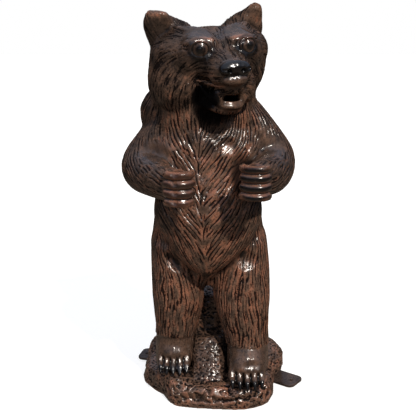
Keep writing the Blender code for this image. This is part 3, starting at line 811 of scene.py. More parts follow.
@dataclass
class Bear:
    """The standing bear, cast in one.

    Attributes:
        grid: The figure's grid.
        base_skin: The size of the first skin, which takes the facets away.
        fine_skin: The size of the skin that is carved.
        depth: How deep the strokes are cut.
        crown: How much each ridge between two strokes is rounded.
        scratch: How deep the hairs are scratched.
        cuff: How far the fur stands out over a hind paw.
        fold: How far the fold on its edge stands out.
        to_sun: The direction of the sun lamp.
        eye_spot: The middle of the right eye, in the head's squares.
        eye_turn: How far each eye is turned out, in degrees.
        lid: The half width and the half height of the thin lid.
        facets: The place and the reach of each glint on the head.
        flats: The place and the reach of each broad smooth place on the body.
        shiny: The place and the reach of the fur that keeps its full lacquer, the arms last.
        smooth_head: The same on the head.
        hind_toes: For each hind paw, the middle and the front of its toes, their half spread
            and their lift.
        palms: The middle of each closed paw, and its turn in degrees.
        finger_glints: The height over the palm of the glint on each of the left fist's fingers.
        cuffs: The height of the left and of the right hind paw's cuff.
        folds: The height of the fold on each.
        lid_blacks: How black an eye is at each ring, from the pupil out to the fold.
    """

    grid: Grid
    base_skin: float = 0.0045
    fine_skin: float = 0.0025
    depth: float = 0.0026
    crown: float = 0.0010
    scratch: float = 0.00010
    cuff: float = 0.0022
    fold: float = 0.0014
    to_sun: Triple = (0.34, -0.62, 0.71)
    eye_spot: Triple = (9.0, -15.8, 5.4)
    eye_turn: float = 20.0
    lid: tuple[float, float] = (2.35, 2.0)
    facets: tuple[Egg, ...] = (
        ((0.3, -25.6, -3.9), (3.6, 2.6, 1.7)),
        ((-4.6, -15.6, 8.0), (2.6, 2.6, 1.3)),
        ((6.4, -15.6, 7.6), (1.5, 2.6, 1.6)),
        ((-1.5, -26.6, 0.6), (1.3, 2.0, 0.9)),
        ((2.0, -26.6, 0.8), (1.1, 2.0, 0.8)),
    )
    flats: tuple[Egg, ...] = (
        ((7.5, -17.0, 91.0), (3.6, 6.0, 4.2)),
        ((-14.7, -17.0, 46.0), (4.0, 6.0, 6.0)),
        ((15.6, -18.0, 46.0), (5.0, 6.0, 7.0)),
        ((17.0, -24.5, 7.6), (4.8, 5.0, 3.6)),
        ((-10.7, -16.5, 7.9), (4.8, 5.0, 3.6)),
    )
    shiny: tuple[Egg, ...] = (
        ((-6.0, -17.0, 87.0), (7.0, 8.0, 9.0)),
        ((-2.5, -20.0, 70.0), (4.0, 8.0, 14.0)),
        ((-20.0, -14.0, 89.5), (9.0, 14.0, 6.0)),
        ((25.0, -14.0, 84.0), (8.0, 14.0, 12.0)),
    )
    smooth_head: tuple[Egg, ...] = (
        ((0.0, -24.5, -1.5), (7.5, 6.0, 5.0)),
        ((-9.0, -15.0, 7.0), (6.0, 6.0, 5.5)),
        ((9.0, -15.0, 7.0), (6.0, 6.0, 5.5)),
        ((0.0, -9.5, 12.0), (18.0, 8.0, 4.5)),
    )
    hind_toes: tuple[tuple[float, float, float, float], ...] = (
        (-13.4, -12.5, 6.4, 2.2),
        (14.9, -21.0, 6.9, 0.0),
    )
    palms: tuple[tuple[Triple, float], ...] = (((-9.9, -33, 80.8), 8), ((16.2, -33, 82.9), 0))
    finger_glints: tuple[float, ...] = (5.3, 2.0, -1.3, -4.6)
    cuffs: tuple[float, float] = (14.0, 11.2)
    folds: tuple[float, float] = (14.3, 11.5)
    lid_blacks: tuple[tuple[float, float], ...] = (
        (0.0, 1.1), (0.84, 1.1), (0.92, 0.1), (1.04, 0.1), (1.10, 1.1), (1.30, 1.1),
        (1.38, 0.6), (1.50, 0.5), (1.60, 0.9), (1.85, 0.7), (2.4, 0.0),
    )

    def build(self) -> bpy.types.Object:
        """Builds and carves the bear, and returns it."""
        base = skinned(node_copy("bear_figure", "bear"), self.base_skin, 9)
        self.clear_sockets(base)
        skin = skinned(joined(base, self.details()), self.fine_skin, 3)
        self.press(skin)
        self.carve(skin)
        skin = reduced(skin, BEAR_TRIANGLES)
        skin.shade_smooth()
        return stand("bear", skin, "bear_patina", "bear_figure")

    def details(self) -> bpy.types.Mesh:
        """Returns the small forms of the face and the paws."""
        clay = Clay(self.grid.head())
        for side in SIDES:
            self.eye(clay, side)
        self.nose(clay)
        self.lips(clay)
        clay.frame = self.grid.body()
        for palm, turn in self.palms:
            self.fist(clay, palm, turn)
        for paw in self.hind_toes:
            self.toes(clay, paw)
        return clay.taken()

    def eye(self, clay: Clay, side: int) -> None:
        """Adds one eye: the ball, a thin lid around it, and the thicker fold around the lid."""
        turn = Matrix.Rotation(math.radians(self.eye_turn * side), 4, "Z")
        x, y, z = self.eye_spot
        clay.frame = self.grid.head() @ Matrix.Translation((side * x, y, z)) @ turn
        clay.egg((0, 1.2, 0), (2.4, 2.4, 2.4))
        clay.ring(*self.lid, 0.34, 0.06)
        clay.ring(3.2, 2.7, 0.52, 0.10)
        clay.frame = self.grid.head()

    def nose(self, clay: Clay) -> None:
        """Adds the nose, with a wing on each side over the nostril."""
        clay.egg((0, -24.5, -0.4), (5.4, 2.9, 2.5), (-12, 0, 0))
        for side in SIDES:
            clay.egg((side * 3.7, -25.4, -1.2), (1.9, 1.9, 1.5), (-10, 0, side * 14))
        clay.egg((0, -24.6, -4.7), (4.6, 2.0, 1.9))

    def lips(self, clay: Clay) -> None:
        """Adds the upper lip's edge and the double rim of the lower lip."""
        upper = [(-9.6, -12.2, -5.6), (-6.6, -18.2, -6.2), (-4.4, -21.4, -7.2)]
        clay.cord(upper, 0.8, across=(0, 0, 1))
        for drop, back, thick in ((0.0, 0.0, 0.6), (1.5, 0.5, 0.42)):
            lower = [
                (-5.2, -16.4 + back, -12.4 + drop),
                (-3.8, -19.6 + back, -13.8 + drop),
                (0, -21.2 + back, -14.6 + drop),
                (3.8, -19.8 + back, -14.3 + drop),
                (5.0, -16.8 + back, -12.8 + drop),
            ]
            clay.cord(lower, thick, across=(0, 0, 1))

    def fist(self, clay: Clay, palm: Triple, turn: float) -> None:
        """Adds the four fingers of a closed paw, laid one over another."""
        to_palm = Euler((0, 0, math.radians(turn))).to_matrix().to_4x4()
        clay.frame = self.grid.body() @ Matrix.Translation(palm) @ to_palm
        for row in range(4):
            height = FINGER_TOP - FINGER_STEP * row
            finger = [
                ((-4.3, -0.4, height), 1.45, 1.55),
                ((-1.8, -3.0, height), 1.55, 1.65),
                ((2.0, -3.2, height), 1.55, 1.65),
                ((4.3, -0.8, height), 1.4, 1.5),
            ]
            clay.limb(finger, across=(0, 0, 1), sides=16)
        clay.frame = self.grid.body()

    def toe_spots(self, paw: tuple[float, float, float, float], spots: int) -> list[Triple]:
        """Returns spots spaced over a hind paw's toes, or over the slots between them."""
        middle, front, wide, lift = paw
        shares = [(k - (spots - 1) / 2) / 2 for k in range(spots)]
        return [(middle + s * (wide - 1.3), front + 1.4 * s * s, lift) for s in shares]

    def toes(self, clay: Clay, paw: tuple[float, float, float, float]) -> None:
        """Adds the five toes of a hind paw and their claws."""
        for x, y, lift in self.toe_spots(paw, 5):
            clay.egg((x, y + 0.8, 3.4 + lift), (1.6, 3.4, 3.1), (-14, 0, 0))
            claw = [
                ((x, y - 1.6, 3.4 + lift), 1.15, 1.3),
                ((x, y - 3.6, 2.6 + lift), 0.95, 1.1),
                ((x, y - 4.8, 1.3 + lift), 0.5, 0.6),
            ]
            clay.limb(claw, sides=12)

    def clear_sockets(self, mesh: bpy.types.Mesh) -> None:
        """Melts the solid's plain eyes away and presses the sockets that the new ones sit in."""
        matrix = self.grid.head()
        x, y, z = self.eye_spot
        points = moved(points_of(mesh), matrix.inverted())
        share = np.zeros(len(points))
        deepen(share, points, (((side * x, y + 0.8, z), (4.6, 4.2, 4.0), 1.0, 0.7) for side in SIDES))
        calmed(mesh, share, 60)
        points = moved(points_of(mesh), matrix.inverted())
        for side in SIDES:
            thumb(points, (side * x, y + 0.4, z), (4.2, 4.0, 3.6), (0, 1.3, 0))
        set_points(mesh, moved(points, matrix))

    def eye_rings(self, head: np.ndarray, side: int) -> np.ndarray:
        """Returns how far each point lies from the middle of an eye: 1 on the thin lid's line.

        The pupil lies a little off the middle, so the rings inside the lid are drawn towards it.
        """
        x, y, z = self.eye_spot
        wide, high = self.lid
        back = Matrix.Rotation(math.radians(-self.eye_turn * side), 4, "Z")
        at = moved(head - (side * x, y, z), back)
        far = np.hypot(at[:, 0] / wide, at[:, 2] / high)
        inner = np.hypot((at[:, 0] + 0.35) / wide, (at[:, 2] - 0.1) / high)
        far = np.where(far < 0.8, inner + (far - inner) * ramp(far, 0.3, 0.8), far)
        return np.where(np.abs(at[:, 1]) < 3.0, far, 9.0)

    def press(self, mesh: bpy.types.Mesh) -> None:
        """Presses the small hollows in, and planes the faces that throw glints.

        The hollows are the nostrils, the edge of each pupil and lid, the slots between the toes
        and the grooves between the fingers.
        """
        place, matrix = self.grid.head(), self.grid.body()
        points = moved(points_of(mesh), place.inverted())
        for side in SIDES:
            thumb(points, (side * 2.5, -27.2, -1.3), (1.5, 2.2, 1.0), (0, 1.6, 0.2))
            thumb(points, (side * 4.4, -26.6, -0.9), (1.3, 2.0, 0.7), (0, 1.0, 0))
            far = self.eye_rings(points, side)
            for ring, cut, wide in ((0.42, 0.16, 0.09), (1.19, 0.28, 0.08)):
                points[:, 1] += cut * np.exp(-(((far - ring) / wide) ** 2))
        self.glints(points, self.facets, place, 0.2)
        body = moved(moved(points, place), matrix.inverted())
        self.glints(body, self.flats, matrix, 0.6)
        for paw in self.hind_toes:
            knuckles = [
                ((x + 0.3, y - 2.2, 5.2 + lift), (1.5, 2.2, 2.0))
                for x, y, lift in self.toe_spots(paw, 5)
            ]
            self.glints(body, knuckles, matrix, 0.25)
            for x, y, lift in self.toe_spots(paw, 4):
                thumb(body, (x, y - 1.8, 3.6 + lift), (0.9, 3.6, 3.4), (0, 1.5, 0.0))
        x, y, z = self.palms[0][0]
        fingers = [((x - 2.4, y - 4.2, z + high), (2.6, 2.4, 1.4)) for high in self.finger_glints]
        self.glints(body, fingers, matrix, 0.3)
        points = moved(body, matrix)
        near, rows = self.knuckles(body)
        cut = 0.6 * self.grid.square * near * np.exp(-(((rows - FINGER_STEP / 2) / 0.42) ** 2))
        set_points(mesh, points - normals_of(mesh) * cut[:, None])

    def knuckles(self, body: np.ndarray) -> tuple[np.ndarray, np.ndarray]:
        """Returns how far inside a fist each point is, and its height off a finger's middle."""
        near = np.zeros(len(body))
        rows = np.zeros(len(body))
        half = FINGER_STEP / 2
        for palm, turn in self.palms:
            at = moved(body - palm, Matrix.Rotation(math.radians(-turn), 4, "Z"))
            inside = blob(at, (0, -2.0, 0), (6.6, 5.0, 9.0), 0.8)
            row = np.abs((at[:, 2] - FINGER_TOP + half) % FINGER_STEP - half)
            rows = np.where(inside > near, row, rows)
            near = np.maximum(near, inside)
        return near, rows

    def glints(
        self, points: np.ndarray, spots: Iterable[Egg], place: Matrix, depth: float
    ) -> None:
        """Planes small faces, tilted so that the sun glances off them.

        Args:
            points: The points, in their own frame.
            spots: The middle and the reach of each face.
            place: The matrix from that frame to metres.
            depth: How deep each is planed at its middle.
        """
        sun = Vector(self.to_sun).normalized()
        back = place.to_3x3().inverted().normalized()
        for middle, reach in spots:
            to_eye = (Vector(CAMERA_PLACE) - place @ Vector(middle)).normalized()
            facing = np.array((back @ (sun + to_eye)).normalized())
            top = points[np.argmin(np.linalg.norm(points - middle, axis=1))]
            high = np.clip((points - top) @ facing + depth, 0, None)
            near = np.linalg.norm((points - top) / reach, axis=1)
            points -= (np.clip(1 - near**4, 0, 1) * high)[:, None] * facing

    def seen(self, points: np.ndarray) -> tuple[np.ndarray, np.ndarray]:
        """Returns the points in the head's own squares, and in the figure's."""
        head, body = (m.inverted() for m in (self.grid.head(), self.grid.body()))
        return moved(points, head), moved(points, body)

    def furry(self, points: np.ndarray) -> np.ndarray:
        """Says how deeply the fur may be carved at each point, from 0 to 1."""
        head, body = self.seen(points)
        share = np.ones(len(points))
        for side in SIDES:
            lessen(share, head * (side, 1, 1), BARE_SIDES)
        lessen(share, head, BARE_MUZZLE)
        fists = (((x, y - 1.5, z), (7.0, 6.0, 9.0), 1.0, 0.75) for (x, y, z), _ in self.palms)
        lessen(share, body, fists)
        share *= self.over_cuffs(body)
        lessen(share, body, BARE_ARMS)
        lessen(share, body, ((*flat, 0.62, 0.5) for flat in self.flats))
        return share

    def over(self, body: np.ndarray, lines: tuple[float, float]) -> np.ndarray:
        """Returns how high each point is over a sloping line round its leg, at these heights."""
        return body[:, 2] + 0.12 * body[:, 1] - np.where(body[:, 0] < 0, *lines)

    def over_cuffs(self, body: np.ndarray) -> np.ndarray:
        """Returns 0 on the smooth hind paws and 1 over their cuffs, in the figure's squares."""
        return ramp(self.over(body, self.cuffs), 0, 0.5)

    def carve(self, mesh: bpy.types.Mesh) -> None:
        """Cuts the strokes, raises the fur over the hind paws, and paints it all."""
        points, normals = points_of(mesh), normals_of(mesh)
        fur, strokes = Fur(self.grid), Strokes()
        sunk = hollows(mesh, 14)
        ways = fur.ways(points, normals)
        turn, step = strokes.wave(mesh, fur, ways)
        hair, lock = strokes.streaks(mesh, ways)
        head, body = self.seen(points)
        crest = (1 - np.cos(turn)) / 2 * ramp(step, 0.6, 0.95)
        thin = 0.12 * ramp(body[:, 2], 24, 30) * (1 - ramp(body[:, 2], 76, 84))
        line = ramp(crest, np.clip(0.60 + thin - 0.22 * lock, 0.15, 0.97), 1.02)
        gaps = Grain(22).at(points * (1, 1, 0.55), 0.016) + 0.6 * Grain(23).at(points, 0.05)
        line *= ramp(gaps, -0.75, -0.35)
        tuft = ramp(lock + 0.6 * hair, 0.2, 1.6)
        fine = ramp(hair + 0.35 * lock, 0.1, 1.5)
        share = self.furry(points)
        low = 1 - ramp(body[:, 2], 30, 50)
        on_body = line * (1 - 0.25 * low) + 0.18 * tuft + (0.25 + 0.2 * low) * fine
        on_face = 0.5 * line * ramp(lock, -0.6, 0.8) + 0.9 * ramp(hair + 0.12 * lock, 0.15, 1.4)
        groove = share * np.clip(on_body + in_head(head) * (on_face - on_body), 0, 1)
        cuff = self.over_cuffs(body)
        above = self.over(body, self.folds)
        collar = self.cuff * cuff * (1 - ramp(above, 0, 6))
        collar += self.fold * np.exp(-(((above - 0.4) / 0.5) ** 2))
        collar *= above < 8
        groove = np.maximum(groove, 0.30 * (1 - cuff) * fine * (body[:, 2] > 4))
        scratched = self.scratch * np.clip(hair, -1.5, 2.5)
        rounded = self.crown * share * ramp(step, 0.6, 0.95) * (turn / math.pi) ** 2
        points += normals * (collar - scratched - rounded - self.depth * groove)[:, None]
        set_points(mesh, points)
        self.note(mesh, groove, hair, lock, sunk)

    def black_and_painted_shade(self, head: np.ndarray, body: np.ndarray) -> np.ndarray:
        """Returns how black each point is left or painted as shade, whether or not it is carved."""
        black = 1.1 * blob(head, (0, -25.4, -0.9), (6.8, 4.2, 3.2), 0.85)
        for side in SIDES:
            far = self.eye_rings(head, side)
            rings = np.interp(far, *zip(*self.lid_blacks))
            iris = ramp(far, 0.42, 0.5) * (1 - ramp(far, 0.62, 0.7))
            iris *= ramp(head[:, 0] - side * self.eye_spot[0], 0, 1)
            below = ramp(self.eye_spot[2] - head[:, 2], -1.5, 1.5) * (far > 1.3)
            rings = rings - 0.3 * iris + 0.3 * below
            black = np.where(far < 3, np.maximum(black * (far > 1.55), rings), black)
        # Painted shade: black inside the mouth and over the jaw's left side, under the muzzle.
        deepen(black, head, PAINTED_SHADE_MOUTH)
        # Painted shadow: black in the throat under the chin, and where the right fist's shadow falls
        # on the breast.
        deepen(black, body, PAINTED_SHADE_BODY)
        deepen(black, body, ((*arm, 0.45, 0.4) for arm in self.shiny[2:]))
        near, rows = self.knuckles(body)
        bars = np.interp(rows, (0.0, 0.8, 1.05, 1.3, 1.5), (1.1, 1.0, 0.1, 0.1, 1.1))
        bars -= 0.2 * (body[:, 0] < 0) * (rows < 1.3)
        black += near * (bars - black)
        for paw in self.hind_toes:
            claws = (
                ((x, y - 4.6, 1.7 + lift), (1.7, 2.6, 2.3), 1.1, 0.8)
                for x, y, lift in self.toe_spots(paw, 5)
            )
            slots = (
                ((x, y - 1.0, 3.4 + lift), (0.75, 4.0, 3.2), 1.1, 0.6)
                for x, y, lift in self.toe_spots(paw, 4)
            )
            deepen(black, body, (*claws, *slots))
        return black

    def tone(self, head: np.ndarray, body: np.ndarray) -> np.ndarray:
        """Returns the patina's tone, with painted shade on the top of the breast: 0 is dark olive
        brown, 0.5 is brown and 1 is rust.
        """
        x, y, z = body.T
        front = ramp(-y, -4, 8)
        middle = front * (1 - ramp(np.abs(x - 1.0), 9, 21))
        legs = front * (1 - ramp(z, 56, 66))
        tone = 0.22 + 0.50 * np.maximum(middle, 0.88 * legs)
        edge = 44 + 1.1 * np.abs(x + 0.4)
        panel = front * ramp(-x, 0, 4) * ramp(z - edge, 0, 5) * (1 - ramp(z, 68, 78))
        tone -= 0.10 * panel
        tone += in_head(head) * (0.06 - tone)
        for place, radii, level in HEAD_TONES:
            tone += blob(head, place, radii, 0.5) * (level - tone)
        # The top of the breast under the chin is darker: partly its dark tufts, partly painted shade
        # from the head.
        tone -= 0.45 * front * blob(body, (1.0, -14.0, 97.0), (14.0, 9.0, 9.0), 0.5)
        tone += self.knuckles(body)[0] * (0.8 - tone)
        paws = 1 - self.over_cuffs(body)
        return tone + paws * (0.26 - tone)

    def sooty(self, head: np.ndarray, body: np.ndarray) -> np.ndarray:
        """Returns how matt each point is: the mouth and the hollows, and by half the worn fur."""
        matt = np.zeros(len(head))
        deepen(matt, head, SOOT_HEAD)
        deepen(matt, body, SOOT_BODY)
        worn = 0.5 * ramp(body[:, 2], 15, 20) + 0.42 * ramp(body[:, 1], -6, 2)
        lessen(worn, body, ((*spot, 1.0, 0.6) for spot in self.flats + self.shiny))
        lessen(worn, head, ((*spot, 1.0, 0.7) for spot in self.facets + self.smooth_head))
        worn *= 1 - self.knuckles(body)[0]
        return np.maximum(matt, worn)

    def in_hollows(self, body: np.ndarray, sunk: np.ndarray) -> np.ndarray:
        """Returns how much black has run into each hollow, other than between the fingers."""
        return 0.9 * ramp(sunk, 0.25, 1.2) * (1 - self.knuckles(body)[0])

    def note(
        self, mesh: bpy.types.Mesh, groove: np.ndarray, hair: np.ndarray, lock: np.ndarray,
        sunk: np.ndarray,
    ) -> None:
        """Paints the bear: the grooves black, painted shade in the mouth and throat and by the right
        fist, and the rest by place, streaked along the fur.
        """
        points = points_of(mesh)
        head, body = self.seen(points)
        furry = self.furry(points)
        bare = 0.35 + 0.65 * ramp(furry, 0.2, 0.9)
        tone = self.tone(head, body) + bare * (0.32 * hair + 0.12 * lock)
        cheeks = 0.6 + 0.5 * ramp(-head[:, 2], -2, 6)
        tone += bare * in_head(head) * cheeks * ramp(-hair - 0.4 * lock, 0.35, 1.2)
        tone += 0.14 * ramp(-sunk, 0.3, 1.2) * ramp(furry, 0.2, 0.6)
        black = np.maximum(self.black_and_painted_shade(head, body), self.in_hollows(body, sunk))
        paint(mesh, groove, black, tone, 0.15 + 0.85 * bare, self.sooty(head, body))


@dataclass
class Rock:
    """The rough rock, carved into fine wavy ridges and pits.

    Attributes:
        fine_skin: The size of the skin that is carved.
        ridge: The height of its wavy ridges, and how far apart they lie.
        grit: The same of its finest grain.
        pit: The depth of its small pits, and how far apart they lie.
        lump: The same of the hollows between its lumps.
        chunk: The depth of the gouges under the toes.
        cuts: How many gouges there are.
        glance: The way that a face looks which throws the sun at the camera.
    """

    fine_skin: float = 0.0029
    ridge: tuple[float, float] = (0.0017, 0.010)
    grit: tuple[float, float] = (0.0012, 0.0055)
    pit: tuple[float, float] = (0.0016, 0.007)
    lump: tuple[float, float] = (0.0030, 0.045)
    chunk: float = 0.0110
    cuts: int = 380
    glance: Triple = (0.15, -0.78, 0.60)

    def build(self) -> bpy.types.Object:
        """Builds and carves the rock, and returns it."""
        skin = skinned(node_copy("rock_base", "rock"), self.fine_skin, 4)
        points = points_of(skin)
        (ridge, ridge_wave), (grit, grit_wave) = self.ridge, self.grit
        (pit, pit_wave), (lump, lump_wave) = self.pit, self.lump
        wavy = Grain(31).at(points * (1, 1, 1.5), ridge_wave)
        fine = Grain(32).at(points, grit_wave)
        pits = ramp(Grain(33).at(points * (1, 1, 1.4), pit_wave), 0.2, 0.6)
        # The chiselled shelf under the toes, whose left part is smoother between the cuts.
        shelf = ramp(-points[:, 1], 0.15, 0.19) * ramp(points[:, 2], 0.02, 0.035)
        shelf *= 1 - ramp(points[:, 2], 0.070, 0.085)
        gouge = self.gouged(points, normals_of(skin)) * shelf
        lumps = ramp(Grain(38).at(points, lump_wave), -0.4, 0.6)
        rough = 1 - 0.7 * shelf * (1 - ramp(points[:, 0], 0.03, 0.08))
        high = rough * (ridge * wavy + grit * fine - pit * pits)
        high -= self.chunk * gouge + lump * lumps
        free = ramp(points[:, 2], 0.001, 0.010)
        set_points(skin, points + normals_of(skin) * ((high - 0.5 * grit) * free)[:, None])
        sunk = hollows(skin, 8)
        tone = 0.40 + 0.24 * Grain(35).at(points, 0.035) + 0.25 * ramp(-sunk, 0.1, 0.8)
        # The ramp between the feet, which is darker and a little matt.
        ramped = ramp(points[:, 2], 0.088, 0.10) * ramp(-points[:, 1], -0.02, 0.02)
        tone -= 0.28 * ramped
        black = 0.15 * ramp(gouge, 0.9, 1.0) + 0.25 * ramped + 0.6 * rough * pits
        groove = (0.3 + 0.5 * rough) * ramp(sunk, 0.0, 0.7)
        paint(skin, groove, black, tone, 0.9, 0.3 * ramped)
        skin = reduced(skin, ROCK_TRIANGLES)
        skin.shade_smooth()
        return stand("rock", skin, "rock_patina", "rock_base")

    def gouged(self, points: np.ndarray, normals: np.ndarray) -> np.ndarray:
        """Returns how deeply the chisel has gone in at each point.

        Each cut leaves a flat face that leans to where the sun glances off it, give or take.

        Args:
            points: The points.
            normals: The direction out of the rock at each.

        Returns:
            The depth of the cut at each point, from 0 to 1.
        """
        draw = np.random.default_rng(39)
        spots = draw.uniform((-0.24, -0.34, 0.0), (0.22, -0.14, 0.11), (self.cuts, 3))
        nearest = nearest_to(points, spots)
        met = np.bincount(nearest, minlength=self.cuts)[:, None] + 1e-9
        middle, out = (
            np.stack([np.bincount(nearest, row, self.cuts) for row in rows.T], axis=1) / met
            for rows in (points, normals)
        )
        facing = self.glance + draw.normal(0, 0.13, (self.cuts, 3))
        front = np.clip(np.einsum("ij,ij->i", facing, out), 0.4, None)
        slopes = (facing / front[:, None] - out) * 2 / self.chunk
        off = np.einsum("ij,ij->i", points - middle[nearest], slopes[nearest])
        return np.clip(0.5 - 0.5 * off, 0, 1)


@dataclass
class Lug:
    """A bolt-down lug: a flat cast bar with rounded outer corners and a bolt hole.

    Attributes:
        name: The name of its node.
        start: Where its middle line leaves the rock.
        turn: Which way it points, in degrees about Z.
        length: How long it is.
        width: How wide it is.
        thick: How thick it is.
        corner: The radius of its outer corners.
        hole: The hole's diameter.
        edge: How far the hole's middle lies from its end.
        soft: The radius of its worn edges.
    """

    name: str
    start: tuple[float, float]
    turn: float
    length: float = 0.142
    width: float = 0.100
    thick: float = 0.010
    corner: float = 0.024
    hole: float = 0.014
    edge: float = 0.030
    soft: float = 0.0016

    def build(self) -> bpy.types.Object:
        """Models the lug as a bar, drills it, softens its edges, and returns it."""
        bpy.ops.object.select_all(action="DESELECT")
        bpy.ops.mesh.primitive_cube_add(size=1, location=(self.length / 2, 0, self.thick / 2))
        bar = bpy.context.active_object
        bar.scale = (self.length, self.width, self.thick)
        bpy.ops.object.transform_apply(location=True, rotation=True, scale=True)
        self.round_corners(bar)
        self.drill(bar)
        self.soften(bar)
        bar.rotation_euler = (0, 0, math.radians(self.turn))
        bar.location = (*self.start, 0)
        bpy.ops.object.transform_apply(location=True, rotation=True, scale=True)
        bpy.ops.object.shade_smooth_by_angle(angle=math.radians(35))
        bar.name = "cast_" + self.name
        points = points_of(bar.data)
        tone = 0.35 + 0.3 * Grain(36).at(points, 0.012)
        pits = ramp(Grain(37).at(points, 0.007), 0.1, 0.6)
        paint(bar.data, 0.5 * pits, 0.0, tone, 0.9, 0.3)
        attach(bar, "root")
        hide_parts(self.name)
        LOG.info("%s: %d faces", bar.name, len(bar.data.polygons))
        return bar

    def round_corners(self, bar: bpy.types.Object) -> None:
        """Rounds the two upright edges at the lug's outer end."""
        bpy.ops.object.mode_set(mode="EDIT")
        bpy.ops.mesh.select_mode(type="EDGE")
        bpy.ops.mesh.select_all(action="DESELECT")
        bpy.ops.object.mode_set(mode="OBJECT")
        for edge in bar.data.edges:
            a, b = (bar.data.vertices[n].co for n in edge.vertices)
            edge.select = min(a.x, b.x) > self.length - 1e-4 and abs(a.z - b.z) > 1e-4
        bpy.ops.object.mode_set(mode="EDIT")
        bpy.ops.mesh.bevel(offset=self.corner, segments=8)
        bpy.ops.object.mode_set(mode="OBJECT")

    def drill(self, bar: bpy.types.Object) -> None:
        """Drills the bolt hole."""
        spot = (self.length - self.edge, 0, self.thick / 2)
        bpy.ops.mesh.primitive_cylinder_add(
            vertices=32, radius=self.hole / 2, depth=self.thick * 3, location=spot
        )
        bit = bpy.context.active_object
        cut = bar.modifiers.new("hole", "BOOLEAN")
        cut.operation = "DIFFERENCE"
        cut.object = bit
        bpy.ops.object.select_all(action="DESELECT")
        bpy.context.view_layer.objects.active = bar
        bar.select_set(True)
        bpy.ops.object.modifier_apply(modifier="hole")
        bpy.data.objects.remove(bit)

    def soften(self, bar: bpy.types.Object) -> None:
        """Wears every sharp edge round, and cuts the flats up so that they can be flecked."""
        bpy.ops.object.mode_set(mode="EDIT")
        bpy.ops.mesh.select_all(action="DESELECT")
        bpy.ops.mesh.edges_select_sharp(sharpness=math.radians(40))
        bpy.ops.mesh.bevel(offset=self.soft, segments=2)
        bpy.ops.mesh.select_all(action="SELECT")
        bpy.ops.mesh.quads_convert_to_tris()
        bpy.ops.mesh.subdivide(number_cuts=3)
        bpy.ops.object.mode_set(mode="OBJECT")


def add_node(tree: bpy.types.NodeTree, kind: str, inputs: dict, **settings: object) -> bpy.types.Node:
    """Adds a shader node.

    Args:
        tree: The material's node tree.
        kind: The node's type, without the words ShaderNode.
        inputs: A value or another node's output for each input, by name or number.
        settings: Its other settings.

    Returns:
        The node.
    """
    made = tree.nodes.new("ShaderNode" + kind)
    for key, value in settings.items():
        setattr(made, key, value)
    plug(tree, made, inputs)
    return made


def plug(tree: bpy.types.NodeTree, node: bpy.types.Node, inputs: dict) -> None:
    """Gives each input its value, or links it to another node's output."""
    for key, value in inputs.items():
        if isinstance(value, bpy.types.NodeSocket):
            tree.links.new(value, node.inputs[key])
        else:
            node.inputs[key].default_value = value


def noise(
    tree: bpy.types.NodeTree, scale: float, detail: float, rough: float = 0.5
) -> bpy.types.NodeSocket:
    """Returns a noise over the object, its bumps about one over the scale in size, in metres."""
    place = add_node(tree, "TexCoord", {}).outputs["Object"]
    inputs = {"Vector": place, "Scale": scale, "Detail": detail, "Roughness": rough}
    return add_node(tree, "TexNoise", inputs).outputs["Fac"]


def spread(
    tree: bpy.types.NodeTree, value: bpy.types.NodeSocket, *ends: float
) -> bpy.types.NodeSocket:
    """Returns a value carried from between the first two ends to between the last two."""
    return add_node(tree, "MapRange", dict(enumerate((value, *ends)))).outputs[0]


def maths(
    tree: bpy.types.NodeTree, operation: str, *values: bpy.types.NodeSocket | float
) -> bpy.types.NodeSocket:
    """Returns what an operation makes of two values."""
    return add_node(tree, "Math", dict(enumerate(values)), operation=operation).outputs[0]


def bumped(
    tree: bpy.types.NodeTree, height: bpy.types.NodeSocket, metres: float,
    strength: bpy.types.NodeSocket | float,
) -> bpy.types.NodeSocket:
    """Returns the surface's direction with bumps of so many metres on it."""
    inputs = {"Strength": strength, "Distance": metres, "Height": height}
    return add_node(tree, "Bump", inputs).outputs[0]


def new_material(name: str) -> tuple[bpy.types.Material, bpy.types.NodeTree, bpy.types.Node]:
    """Returns a new material, its node tree and its shader."""
    made = bpy.data.materials.new(name)
    made.use_nodes = True
    return made, made.node_tree, made.node_tree.nodes["Principled BSDF"]


